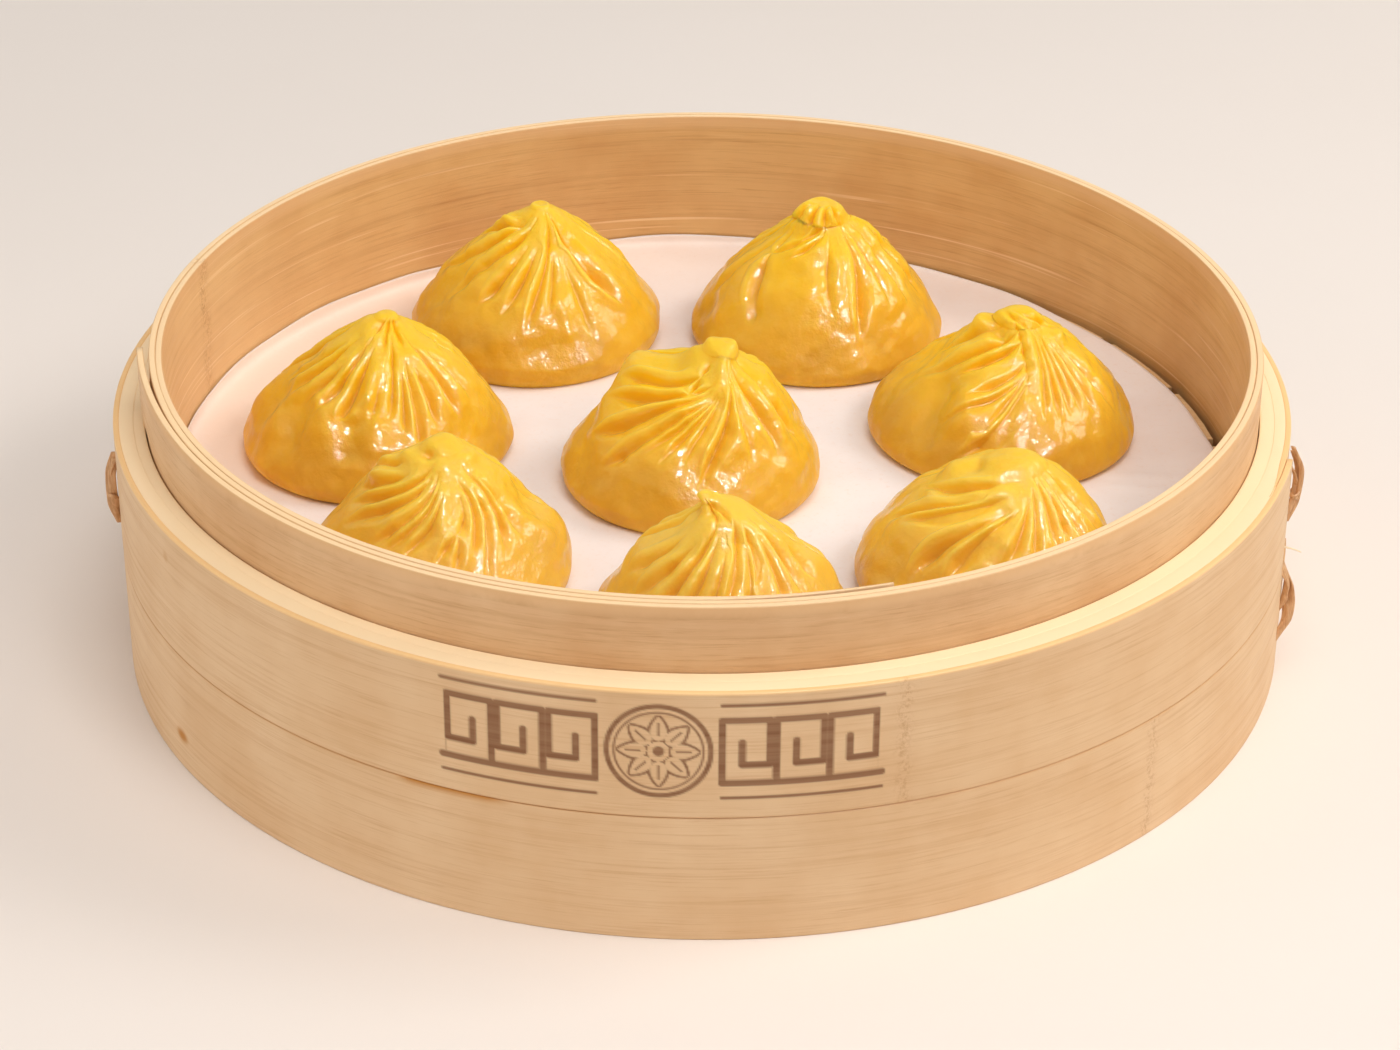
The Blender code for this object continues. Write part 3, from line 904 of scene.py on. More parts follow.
def wrap(angle, height, out, reach, rise):
    """Rings of a short turn of cane round the other strands: a slanted, flattened torus.

    Its lengths are given in mm.
    """
    height, out, reach, rise = np.array([height, out, reach, rise]) * MM
    turn = np.linspace(0, 2 * math.pi, 36, endpoint=False)[:, None]
    rim = np.linspace(0, 2 * math.pi, 10, endpoint=False)[None, :]
    radial = np.array([math.cos(angle), math.sin(angle), 0])
    across = np.array([-math.sin(angle), math.cos(angle), 0])
    size = reach + 0.22 * MM * np.cos(rim)
    rings = (radial * (BAND_RADIUS + out + size * np.cos(turn))[..., None]
             + across * (1.3 * size * np.sin(turn))[..., None])
    rings[..., 2] = height + rise * np.sin(turn + 0.6) + 0.42 * MM * np.sin(rim)
    return rings, None


def lacing(name, node, parts):
    """Join all parts of one lacing into one piece."""
    made = []
    for number, (rings, ends) in enumerate(parts):
        made.append(surface(f"{name}_{number}", rings, cane_finish, ends))
    bpy.ops.object.select_all(action="DESELECT")
    for piece in made:
        piece.select_set(True)
    bpy.context.view_layer.objects.active = made[0]
    bpy.ops.object.join()
    made[0].name = name
    settle(made[0], "cane", node)


LEFT, UPPER_RIGHT, LOWER_RIGHT = math.radians(-169), math.radians(-11.5), math.radians(-13.5)
lacing("left_lacing", "lacing_left", (
    strand(LEFT, 31, 46, 1.0, 1, 0.9, 0.4, 0.8, 0.32, 0.15, 0.44),
    strand(LEFT, 31.5, 44.5, 0.8, 2, 1.0, 0.8, 0.75, 0.32, 0.9, 0.3),
    strand(LEFT, 33, 45, 0.5, 1, 1.2, -0.8, 0.8, 0.3, 0.3, 0.4),
    wrap(LEFT, 36.5, 0.4, 0.9, 0.8),
))
lacing("right_upper_lacing", "lacing_right_upper", (
    strand(UPPER_RIGHT, 33, 49.4, 1.5, 1, 1.5, 0.3, 0.55, 0.28, 0.3, 0.36),
    strand(UPPER_RIGHT, 35, 48, 0.7, 1, 1.6, -0.7, 0.6, 0.28, 0.4, 0.3),
    strand(UPPER_RIGHT, 36, 45.5, 0.5, 1, 1.0, 0.9, 0.55, 0.26, 0.7, 0.2),
    wrap(UPPER_RIGHT, 39.6, 0.6, 0.85, 0.5),
    wrap(UPPER_RIGHT, 38.6, 0.5, 0.75, -0.5),
))
lacing("right_lower_lacing", "lacing_right_lower", (
    strand(LOWER_RIGHT, 8, 26.6, 1.9, 1, 0.92, 1.0, 0.95, 0.30, 1.1),
    strand(LOWER_RIGHT, 9, 26, 1.3, 2, 1.05, -0.9, 0.8, 0.3, 1.0, 0.3),
    strand(LOWER_RIGHT, 15, 26, 0.8, 1, 1.0, 0.6, 0.7, 0.28, 0.8, 0.3),
))

# %% [markdown]
# ## One loose fibre
#
# A single hair of bamboo has lifted from the upper band at the right.  It is a thin tapering tube.

# %% Make the loose fibre
FIBRE_ANGLE = math.radians(-14)
FIBRE_HEIGHT = 30.2 * MM
FIBRE_RINGS = 16
FIBRE_SIDES = 8

t = np.linspace(0, 1, FIBRE_RINGS)[:, None]
rim = np.linspace(0, 2 * math.pi, FIBRE_SIDES, endpoint=False)[None, :]
tube = (0.22 - 0.08 * t) * MM
fibre = np.empty((FIBRE_RINGS, FIBRE_SIDES, 3))
fibre[..., 0] = (BAND_RADIUS - 0.3 * MM + 3.4 * MM * t) * math.cos(FIBRE_ANGLE)
fibre[..., 1] = (BAND_RADIUS + 3.0 * MM * t) * math.sin(FIBRE_ANGLE) + tube * np.cos(rim)
fibre[..., 2] = FIBRE_HEIGHT - 0.7 * MM * t**2 + tube * np.sin(rim)
fibre_ends = (fibre[0].mean(axis=0), fibre[-1].mean(axis=0))
fibre_piece = surface("loose_fibre", fibre, edge_bamboo, fibre_ends,
                      {"edge": np.zeros(FIBRE_RINGS * FIBRE_SIDES)})
settle(fibre_piece, "bamboo_band")

# %% [markdown]
# ## The form of a dumpling
#
# A soup dumpling is a thin round of dough gathered over soft filling.  Before any pleat it is a
# turned shape: a tucked foot, a wide belly low down, and a flank that closes to the pinch.  Its
# flank is 1 - rise^fullness, all to the power roundness.  The pinch leans a little to one side.

# %% Turned form of the dough
DUMPLING_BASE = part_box("dumpling_1")[0].z
FOOT_RATIO = 0.93
SINK = 0.5 * MM
DOUGH_RINGS = 180
DOUGH_AROUND = 420


def flank_share(level, shape):
    """Radius of the plain flank as a share of the belly's: (1 - rise^fullness)^roundness."""
    belly = shape["belly"]
    rise = np.clip((level - belly) / (1 - belly), 0, 1)
    return np.clip(1 - rise ** shape["fullness"], 0, None) ** shape["roundness"]


def outline(level, shape):
    """Radius as a share of the belly's, at a level from 0, the foot, to 1, the peak.

    Above the neck stands the knob, which closes as (1 - up^power)^0.5 and may taper a little.
    """
    belly = shape["belly"]
    foot = 1 - (1 - FOOT_RATIO) * (1 - np.minimum(level / belly, 1)) ** 2.5
    neck, reach, neck_mm, taper, power = shape["knob"][:5]
    neck_share = neck_mm * MM / shape["radius"]
    drawn_in = flank_share(neck, shape) - neck_share
    flank = flank_share(level, shape) - drawn_in * smoothstep(neck - reach, neck, level)
    up = np.clip((level - neck) / (1 - neck), 0, 1)
    knob = neck_share * (1 - taper * up) * np.sqrt(1 - up**power)
    return np.where(level < belly, foot, np.where(level < neck, flank, knob))


def form_point(shape, angle, level):
    """Place on the turned form: (r cos a + lean, r sin a, height * level), the knob shifted."""
    angle, level = np.broadcast_arrays(np.asarray(angle, float), np.asarray(level, float))
    radius = shape["radius"] * outline(level, shape)
    neck, reach = shape["knob"][:2]
    shift_x, shift_y = shape["knob"][5:]
    shifted = smoothstep(neck - reach / 2, 1.0, level) * MM
    return np.stack([shape["x"] + radius * np.cos(angle) + shape["lean"] * level**2
                     + shift_x * shifted,
                     shape["y"] + radius * np.sin(angle) + shift_y * shifted,
                     DUMPLING_BASE + shape["height"] * level], axis=-1)


def even_levels(shape):
    """Levels whose rings are equally far apart along the flank."""
    dense = np.linspace(0, 0.9995, 2000)
    radius = shape["radius"] * outline(dense, shape)
    step = np.hypot(np.diff(radius), shape["height"] * np.diff(dense))
    length = np.concatenate([[0], np.cumsum(step)])
    return np.interp(np.linspace(0, length[-1], DOUGH_RINGS), length, dense)


def form_normals(points):
    """Outward directions of a grid of points, from its two slopes."""
    up = np.gradient(points, axis=0)
    wrapped = np.concatenate([points[:, -1:], points, points[:, :1]], axis=1)
    along = (wrapped[:, 2:] - wrapped[:, :-2]) / 2
    normal = np.cross(along, up)
    return normal / np.linalg.norm(normal, axis=-1, keepdims=True)


print("a dumpling starts as", DOUGH_RINGS, "rings of", DOUGH_AROUND, "points")

# %% [markdown]
# ## Paths on the dough
#
# Pleats and swells are drawn along paths.  A path is given by two to four stops, each a
# direction in degrees and a level, and a smooth curve passes through them.  Distances to it are
# real ones in space, so that a path may run in any direction.

# %% Paths and distances to them
PATH_POINTS = 20
FAR = 8 * MM


def path_points(shape, stops):
    """Curve through the stops, seen from above: the polynomial that passes through them all."""
    degrees, levels = np.asarray(stops[0::2], float), np.asarray(stops[1::2], float)
    reach = outline(levels, shape)
    plan = np.stack([reach * np.cos(np.radians(degrees)), reach * np.sin(np.radians(degrees))],
                    axis=-1)
    stop_at = np.vander(np.linspace(0, 1, len(levels)), increasing=True)
    along = np.vander(np.linspace(-0.12, 1, PATH_POINTS), len(levels), increasing=True)
    curve = along @ np.linalg.solve(stop_at, plan)
    level = along @ np.linalg.solve(stop_at, levels)
    return form_point(shape, np.arctan2(curve[:, 1], curve[:, 0]), np.clip(level, 0, 0.999))


def path_distance(points, normals, path):
    """Distance to a path, which side of it, and how far along it, from 0 to 1."""
    low, high = path.min(axis=0) - FAR, path.max(axis=0) + FAR
    close = np.flatnonzero(((points > low) & (points < high)).all(axis=1))
    spots = points[close]
    nearest = np.full(len(spots), FAR**2)
    side = np.zeros(len(spots))
    where = np.zeros(len(spots))
    for number, (start, end) in enumerate(zip(path[:-1], path[1:])):
        run = end - start
        t = np.clip((spots - start) @ run / (run @ run), 0, 1)
        offset = spots - start - t[:, None] * run
        distance = np.einsum("ij,ij->i", offset, offset)
        closer = distance < nearest
        nearest = np.where(closer, distance, nearest)
        turned = np.einsum("ij,ij->i", np.cross(run, offset), normals[close])
        side = np.where(closer, np.sign(turned), side)
        where = np.where(closer, (number + t) / (len(path) - 1), where)
    return close, np.sqrt(nearest), side, where


print("a path is drawn with", PATH_POINTS, "points")

# %% [markdown]
# ## Pleats, swells and bulges
#
# Between two creases the dough stands up like a rope.  So a vertex looks for its two nearest
# creases: half the distance between them is the rope's half width, and the surface sinks from
# the round crest to the narrow crease.  Ropes therefore get thinner and shallower where creases
# draw together, as real pleats do at the pinch.  Swells and bulges are simply soft ridges,
# hollows and hills, added on top.

# %% Press the dough
ROPE_STEEPNESS = 0.95
PRESS = 1.15
ROPE_RISE = 0.40
BLEND = 1.1 * MM
ROUNDED = 0.18 * MM


def pleat_relief(points, normals, shape, creases):
    """Depth of the nearest crease times the valley shape, and its lapped side.

    With u = 1 - way to the crest, the valley is narrow high up, 1 - (1 - u^2)^0.5, and a soft
    hollow, u^2, at its foot.
    """
    first = np.full(len(points), FAR)
    second = np.full(len(points), FAR)
    depth, lift = np.zeros(len(points)), np.zeros(len(points))
    narrow = np.zeros(len(points))
    width = np.full(len(points), MM)
    weight = np.full(len(points), 1e-6)
    pleated = np.zeros(len(points))
    for number, (crease_depth, crease_width, lap, *stops) in enumerate(creases):
        close, reach, side, where = path_distance(points, normals, path_points(shape, stops))
        fade = smoothstep(0, 0.45, where) * (1 - smoothstep(0.62, 1.0, where))
        uneven = 1 + 0.22 * np.sin(7 * where + 2.4 * number)
        nearness = np.exp(-reach / BLEND)
        weight[close] += nearness
        pleated[close] += nearness * smoothstep(0.0, 0.40, where) * min(crease_depth, 1.4) * uneven
        was_first = first[close]
        closer = reach < was_first
        second[close] = np.where(closer, was_first, np.minimum(second[close], reach))
        first[close] = np.where(closer, reach, was_first)
        depth[close] = np.where(closer, PRESS * crease_depth * MM * fade * uneven, depth[close])
        tapered = crease_width * MM * (0.45 + 0.55 * smoothstep(0, 0.5, where))
        width[close] = np.where(closer, tapered, width[close])
        lift[close] = np.where(closer, lap * np.where(side > 0, 1.0, -0.3), lift[close])
        narrow[close] = np.where(closer, 0.8 * smoothstep(0.2, 0.6, where), narrow[close])
    half = np.minimum((first + second) / 2, width)
    way = np.clip((np.hypot(first, ROUNDED) - ROUNDED) / half, 0, 1)
    depth = np.minimum(depth, ROPE_STEEPNESS * half)
    proud = ROPE_RISE * MM * pleated / (weight + 0.05)
    u = 1 - way
    valley = narrow * (1 - np.sqrt(1 - u**2)) + (1 - narrow) * u**2
    sunk = (depth + proud * 0.5) * valley
    return proud - sunk + lift * depth * 4 * way * (1 - way)


def swell(points, normals, shape, height, width, *stops):
    """Soft ridge or hollow along a path: height * e^-(distance / width)²."""
    close, reach, _, where = path_distance(points, normals, path_points(shape, stops))
    change = np.zeros(len(points))
    fade = smoothstep(0, 0.3, where) * (1 - smoothstep(0.7, 1.0, where))
    change[close] = height * MM * np.exp(-((reach / (width * MM)) ** 2)) * fade
    return change


def bulge(points, shape, height, across, along, degrees, level):
    """Soft hill: height * e^-(across² + along²), measured on the surface."""
    angle = math.radians(degrees)
    centre = form_point(shape, angle, level)
    above = form_point(shape, angle, level + 0.01) - form_point(shape, angle, level - 0.01)
    above = above / np.linalg.norm(above)
    beside = np.array([-math.sin(angle), math.cos(angle), 0])
    offset = points - centre
    u = offset @ beside / (across * MM)
    v = offset @ above / (along * MM)
    return height * MM * np.exp(-(u**2 + v**2))


print("a rope rises", ROPE_RISE, "mm for each mm that its creases are deep")

# %% [markdown]
# ## Eight dumplings, no two alike
#
# Each dumpling has its own list of creases, chosen one by one, because a maker's hand never
# repeats itself.  The knob is the pinch at the top, swells are long ridges and hollows, and
# bulges are where the filling pushes out.

# %% The dumplings' own sizes
# creases: depth, widest half rope, lap (all mm but the lap), then stops: degrees, level, ...
# knob: neck level, reach of the draw, neck radius in mm, taper, power, shift of the tip in mm
# swells: height and width in mm, then stops; bulges: height, across, along, degrees, level
DUMPLINGS = {
    "dumpling_1": {
        "x": -0.0357, "y": 0.0581, "radius": 0.0265, "height": 0.0299, "belly": 0.14,
        "fullness": 1.25, "roundness": 0.83, "lean": 0.0016, "back": (0, 165),
        "knob": (0.968, 0.06, 1.9, 0.0, 1.2, -0.2, 0),
        "creases": (
            (2.5, 3.2, 0.4, -34, 0.44, -43, 0.64, -50, 0.80, -60, 0.96),
            (0.9, 2.2, 0.0, -57, 0.30, -59, 0.50, -62, 0.74),
            (2.2, 2.4, 0.3, -92, 0.40, -87, 0.58, -78, 0.76, -70, 0.95),
            (0.9, 1.4, 0.0, -80, 0.48, -76, 0.62, -72, 0.76),
            (1.4, 2.4, 0.3, -108, 0.46, -101, 0.62, -90, 0.79),
            (1.3, 2.6, 0.2, -126, 0.48, -117, 0.63, -102, 0.80),
            (1.3, 2.8, 0.3, -152, 0.46, -140, 0.66, -122, 0.80, -98, 0.93),
            (1.2, 2.6, 0.3, 178, 0.50, -164, 0.68, -146, 0.82, -118, 0.94),
            (1.8, 2.0, 0.5, 160, 0.72, -176, 0.83, -150, 0.88, -118, 0.92)),
        "swells": ((0.8, 2.6, -26, 0.36, -33, 0.62, -40, 0.86), (0.7, 1.8, -70, 0.30, -72, 0.60),
                   (-0.9, 3.0, -160, 0.34, -150, 0.66)),
        "bulges": ((1.2, 8, 6, -16, 0.45), (0.7, 5, 4, -98, 0.33), (0.7, 5, 4, -132, 0.36),
                   (-0.7, 5, 4, -82, 0.25), (-1.2, 1.6, 1.2, -142, 0.90), (0.6, 3, 3, -48, 0.30),
                   (0.8, 2.4, 1.4, 176, 0.88)),
    },
    "dumpling_2": {
        "x": 0.0238, "y": 0.0590, "radius": 0.0264, "height": 0.0300, "belly": 0.09,
        "fullness": 1.42, "roundness": 0.88, "lean": 0.0020, "back": (10, 170),
        "knob": (0.885, 0.14, 4.7, 0.22, 6.0, -0.9, 0),
        "creases": (
            (1.9, 2.8, 0.3, -69, 0.34, -65, 0.52, -58, 0.70, -62, 0.90),
            (0.9, 2.6, 0.0, -84, 0.46, -87, 0.62, -84, 0.84),
            (1.6, 3.6, 0.2, -127, 0.34, -141, 0.54, -151, 0.70, -152, 0.88),
            (1.0, 3.0, 0.2, -176, 0.36, -172, 0.58, -165, 0.84),
            (0.8, 2.0, 0.1, -46, 0.46, -42, 0.66, -44, 0.90),
            (0.8, 2.2, 0.1, -30, 0.42, -26, 0.62, -26, 0.88),
            (1.1, 1.6, 0.3, -150, 0.72, -130, 0.80, -108, 0.86, -80, 0.88),
            (0.8, 1.4, 0.2, -128, 0.72, -112, 0.79, -92, 0.85),
            (0.7, 2.0, 0.1, -8, 0.40, -8, 0.86),
            (1.0, 1.8, 0.2, -168, 0.84, -160, 0.97, 120, 0.997),
            (1.4, 1.8, 0.2, -128, 0.86, -122, 0.97, 90, 0.997),
            (1.2, 1.6, 0.2, -92, 0.88, -88, 0.97, 70, 0.997),
            (1.3, 1.8, 0.2, -54, 0.86, -58, 0.97, 40, 0.997)),
        "swells": ((0.7, 2.4, -78, 0.34, -76, 0.60, -82, 0.80), (-0.9, 3.4, -172, 0.12, -165, 0.40),
                   (0.7, 1.3, 170, 0.80, -150, 0.86, -110, 0.90, -76, 0.92)),
        "bulges": ((0.9, 8, 8, -112, 0.48), (0.6, 5, 6, -50, 0.45), (1.6, 2.6, 1.9, 178, 0.90),
                   (-0.6, 4, 4, -95, 0.25), (0.5, 4, 4, -40, 0.28), (0.5, 0.9, 0.9, -150, 0.97),
                   (0.6, 0.8, 0.9, -80, 0.975), (0.5, 0.8, 0.8, -45, 0.97), (-0.8, 3, 3, -130, 0.42)),
    },
    "dumpling_3": {
        "x": -0.0650, "y": 0.0077, "radius": 0.0268, "height": 0.0291, "belly": 0.09,
        "fullness": 1.32, "roundness": 0.85, "lean": 0.0031, "back": (8, 160),
        "knob": (0.955, 0.08, 2.4, 0.0, 1.6, 0.2, 0),
        "creases": (
            (2.6, 2.4, 0.3, -110, 0.50, -107, 0.63, -101, 0.84),
            (1.6, 2.0, 0.1, -79, 0.52, -76, 0.68, -75, 0.90),
            (2.0, 2.4, 0.2, -64, 0.34, -63, 0.52, -62, 0.78),
            (1.2, 1.8, 0.1, -71, 0.44, -69, 0.58, -68, 0.72),
            (1.6, 2.2, 0.2, -51, 0.42, -52, 0.58, -54, 0.74),
            (1.4, 2.4, 0.2, -36, 0.44, -38, 0.64, -46, 0.90),
            (1.0, 2.4, 0.1, -22, 0.48, -25, 0.64, -31, 0.80),
            (0.8, 2.0, 0.1, -91, 0.50, -89, 0.59, -88, 0.68),
            (1.5, 2.8, 0.2, -127, 0.52, -122, 0.68, -110, 0.90),
            (1.3, 2.8, 0.2, -143, 0.50, -138, 0.62, -130, 0.74),
            (1.3, 2.6, 0.2, -158, 0.52, -151, 0.68, -136, 0.88),
            (1.0, 2.6, 0.1, -174, 0.54, -165, 0.68, -152, 0.82),
            (0.9, 1.3, 0.0, -112, 0.86, -104, 0.98),
            (0.9, 1.2, 0.0, -86, 0.86, -82, 0.98),
            (0.9, 1.3, 0.0, -58, 0.86, -58, 0.98)),
        "swells": ((-1.6, 3.4, -134, 0.22, -138, 0.42, -136, 0.58),
                   (-1.3, 2.8, -100, 0.28, -101, 0.42, -104, 0.54),
                   (-1.2, 2.8, -162, 0.26, -166, 0.58),
                   (0.9, 2.6, -86, 0.30, -88, 0.56), (0.7, 1.4, -94, 0.56, -92, 0.80)),
        "bulges": ((1.3, 7, 7, -16, 0.56), (1.5, 4.2, 4.5, -118, 0.46), (0.8, 4, 3, -72, 0.36),
                   (1.0, 5, 4, -150, 0.36), (0.8, 5, 4, 178, 0.35), (-0.5, 3, 3, -48, 0.30)),
    },
    "dumpling_4": {
        "x": -0.0025, "y": -0.0055, "radius": 0.0254, "height": 0.0296, "belly": 0.11,
        "fullness": 1.38, "roundness": 0.85, "lean": 0.0070, "back": (10, 148),
        "knob": (0.905, 0.14, 2.9, 0.30, 1.2, 0.5, 0),
        "creases": (
            (2.0, 3.0, 0.5, -178, 0.66, -164, 0.73, -142, 0.79, -106, 0.84),
            (2.9, 3.0, 0.5, -170, 0.58, -150, 0.68, -124, 0.75, -90, 0.81),
            (2.9, 3.0, 0.4, -158, 0.42, -145, 0.54, -128, 0.66, -94, 0.78),
            (2.4, 3.0, 0.3, -140, 0.34, -131, 0.47, -118, 0.61, -90, 0.75),
            (1.0, 1.6, 0.2, -122, 0.46, -112, 0.58, -98, 0.69, -86, 0.77),
            (0.9, 1.4, 0.2, -110, 0.44, -104, 0.56, -94, 0.67, -84, 0.76),
            (0.8, 1.3, 0.1, -98, 0.44, -94, 0.56, -88, 0.66, -82, 0.75),
            (3.2, 2.2, 0.4, -86, 0.36, -80, 0.52, -73, 0.66, -74, 0.84),
            (1.6, 3.0, 0.2, -40, 0.44, -44, 0.62, -54, 0.78, -66, 0.92),
            (0.9, 1.8, 0.1, -58, 0.44, -60, 0.58, -66, 0.74, -74, 0.88),
            (1.0, 2.4, 0.1, -18, 0.42, -26, 0.66, -34, 0.90),
            (1.4, 1.4, 0.3, -116, 0.78, -112, 0.88)),
        "swells": ((1.3, 1.7, -64, 0.50, -68, 0.70, -76, 0.86, -60, 0.97),
                   (1.0, 2.2, -30, 0.36, -38, 0.62, -48, 0.84),
                   (0.9, 1.8, -152, 0.50, -134, 0.64, -104, 0.76),
                   (0.8, 1.3, -88, 0.76, -84, 0.87, -76, 0.99)),
        "bulges": ((4.4, 8, 5.0, 164, 0.68), (2.2, 6, 4.0, -170, 0.54), (1.2, 5, 4, -152, 0.42),
                   (1.5, 3.0, 3.0, 172, 0.88), (1.2, 2.0, 1.4, -178, 0.95), (0.6, 6, 4, -100, 0.26),
                   (0.6, 5, 5, -30, 0.30), (-0.7, 1.8, 1.4, -116, 0.80)),
    },
    "dumpling_5": {
        "x": 0.0600, "y": 0.0152, "radius": 0.0267, "height": 0.0272, "belly": 0.08,
        "fullness": 1.60, "roundness": 1.00, "lean": 0.0034, "back": (5, 150),
        "knob": (0.895, 0.08, 4.5, 0.0, 1.35, -0.8, 0),
        "creases": (
            (2.4, 3.4, 0.5, -112, 0.24, -102, 0.37, -94, 0.50, -80, 0.66),
            (1.5, 2.4, 0.3, -126, 0.42, -112, 0.52, -98, 0.60, -82, 0.70),
            (1.1, 1.7, 0.2, -120, 0.56, -107, 0.63, -94, 0.69, -82, 0.76),
            (0.8, 1.3, 0.1, -103, 0.44, -97, 0.53, -90, 0.62, -82, 0.70),
            (1.2, 1.7, 0.1, -72, 0.46, -69, 0.60, -66, 0.76, -72, 0.90),
            (1.1, 1.5, 0.1, -63, 0.46, -62, 0.62, -60, 0.78, -64, 0.90),
            (1.0, 1.4, 0.1, -56, 0.48, -55, 0.64, -54, 0.80, -58, 0.90),
            (1.0, 1.4, 0.1, -49, 0.46, -48, 0.64, -48, 0.84),
            (1.1, 1.7, 0.1, -40, 0.42, -41, 0.62, -42, 0.84),
            (1.0, 2.0, 0.1, -26, 0.38, -29, 0.60, -32, 0.84),
            (1.4, 1.8, 0.3, -140, 0.64, -122, 0.74, -104, 0.80, -88, 0.84),
            (1.8, 1.8, 0.1, -82, 0.64, -84, 0.76, -92, 0.86, -104, 0.93),
            (1.3, 1.8, 0.3, -58, 0.84, -70, 0.90, -110, 0.955, -175, 0.97),
            (1.0, 1.6, 0.3, -10, 0.86, -28, 0.92, -60, 0.97, -150, 0.99),
            (1.4, 2.8, 0.3, -168, 0.54, -150, 0.70, -126, 0.82, -98, 0.88),
            (1.0, 2.2, 0.2, 172, 0.66, -168, 0.80, -138, 0.90)),
        "swells": ((-1.8, 3.4, -130, 0.22, -142, 0.46, -152, 0.70), (1.1, 3.0, -116, 0.34, -128, 0.66),
                   (0.8, 1.3, -74, 0.70, -78, 0.84, -96, 0.96)),
        "bulges": ((-1.6, 8, 6, 165, 0.6), (2.4, 3.0, 2.4, 176, 0.85), (0.9, 2.0, 1.4, -170, 0.95),
                   (-1.5, 1.5, 1.3, -128, 0.86), (0.9, 5, 4, -66, 0.30), (0.6, 5, 5, -35, 0.25),
                   (0.8, 3, 3, -108, 0.44), (1.0, 2.6, 1.8, -14, 0.82)),
    },
    "dumpling_6": {
        "x": -0.0495, "y": -0.0451, "radius": 0.0252, "height": 0.0293, "belly": 0.12,
        "fullness": 1.20, "roundness": 0.78, "lean": 0.0018, "back": (12, 160),
        "knob": (0.93, 0.05, 3.9, 0.0, 1.2, -0.4, 0),
        "creases": (
            (2.6, 1.9, 0.2, -64, 0.50, -59, 0.61, -57, 0.70, -66, 0.82),
            (2.2, 2.2, 0.2, -60, 0.36, -55, 0.50, -50, 0.62, -50, 0.76),
            (1.4, 1.8, 0.2, -86, 0.46, -78, 0.55, -69, 0.62, -67, 0.74),
            (1.3, 2.0, 0.2, -106, 0.48, -98, 0.57, -91, 0.64, -84, 0.76),
            (1.5, 2.2, 0.2, -118, 0.48, -107, 0.60, -96, 0.69, -87, 0.82),
            (1.6, 2.4, 0.2, -129, 0.50, -113, 0.63, -99, 0.74, -90, 0.86),
            (1.9, 3.0, 0.3, -156, 0.52, -139, 0.64, -119, 0.73, -100, 0.84),
            (2.0, 3.2, 0.4, -170, 0.58, -148, 0.70, -124, 0.79, -100, 0.90),
            (1.8, 3.0, 0.3, -180, 0.64, -162, 0.74, -136, 0.83),
            (1.2, 2.2, 0.2, 164, 0.70, 180, 0.79, -158, 0.86),
            (1.4, 2.4, 0.1, -45, 0.44, -38, 0.60, -41, 0.75, -50, 0.88),
            (0.9, 2.2, 0.1, -28, 0.48, -30, 0.64, -38, 0.80),
            (1.0, 1.6, 0.1, -78, 0.38, -74, 0.50, -74, 0.58)),
        "swells": ((0.9, 1.8, -86, 0.60, -84, 0.84), (0.8, 2.2, -12, 0.34, -22, 0.66)),
        "bulges": ((1.6, 7, 5, 4, 0.34), (-1.0, 6, 4, 12, 0.58), (1.6, 4, 3, 176, 0.76),
                   (-1.3, 1.3, 1.0, -125, 0.93), (0.6, 6, 3, -120, 0.34), (0.9, 2.0, 1.6, -172, 0.88),
                   (0.9, 3.0, 1.6, -24, 0.90)),
    },
    "dumpling_7": {
        "x": 0.0035, "y": -0.0659, "radius": 0.0242, "height": 0.0298, "belly": 0.13,
        "fullness": 1.18, "roundness": 0.92, "lean": -0.0005, "back": (12, 168),
        "knob": (0.94, 0.14, 2.3, 0.0, 1.3, -3.0, 0),
        "creases": (
            (2.6, 2.0, 0.2, -86, 0.52, -79, 0.66, -71, 0.76, -64, 0.87),
            (2.2, 1.8, 0.2, -62, 0.60, -55, 0.72, -50, 0.84),
            (1.2, 1.8, 0.1, -74, 0.46, -67, 0.60, -62, 0.74),
            (1.2, 2.4, 0.1, -100, 0.44, -93, 0.58, -86, 0.74),
            (1.3, 2.6, 0.2, -118, 0.42, -108, 0.58, -95, 0.80),
            (1.5, 2.8, 0.2, -134, 0.42, -125, 0.56, -112, 0.74, -98, 0.86),
            (1.5, 3.0, 0.3, -152, 0.44, -142, 0.58, -124, 0.76),
            (1.2, 2.8, 0.2, -170, 0.48, -160, 0.62, -148, 0.78),
            (1.4, 2.4, 0.1, -46, 0.44, -42, 0.60, -39, 0.76),
            (1.1, 2.4, 0.1, -30, 0.42, -27, 0.62, -28, 0.84),
            (0.9, 2.4, 0.1, -12, 0.46, -11, 0.68),
            (0.8, 1.3, 0.1, -100, 0.86, -92, 0.97),
            (0.7, 1.2, 0.1, -72, 0.87, -72, 0.97)),
        "swells": ((0.7, 1.6, -90, 0.50, -84, 0.78), (-0.7, 2.2, -116, 0.24, -120, 0.46)),
        "bulges": ((1.8, 6, 4, 178, 0.54), (1.5, 6, 6, 8, 0.42), (-1.9, 5, 3.4, 180, 0.78),
                   (-1.1, 3.4, 2.2, 176, 0.88), (-1.0, 1.1, 1.0, -104, 0.92)),
    },
    "dumpling_8": {
        "x": 0.0532, "y": -0.0460, "radius": 0.0250, "height": 0.0273, "belly": 0.13,
        "fullness": 1.49, "roundness": 0.77, "lean": 0.0042, "back": (8, 150),
        "knob": (0.90, 0.05, 6.2, 0.0, 1.0, -0.2, 0),
        "creases": (
            (2.1, 2.9, 0.5, -160, 0.58, -143, 0.69, -122, 0.77, -94, 0.83),
            (1.5, 2.2, 0.3, 176, 0.70, -158, 0.79, -132, 0.85, -102, 0.89),
            (2.4, 3.0, 0.5, -136, 0.36, -132, 0.51, -119, 0.64, -92, 0.77),
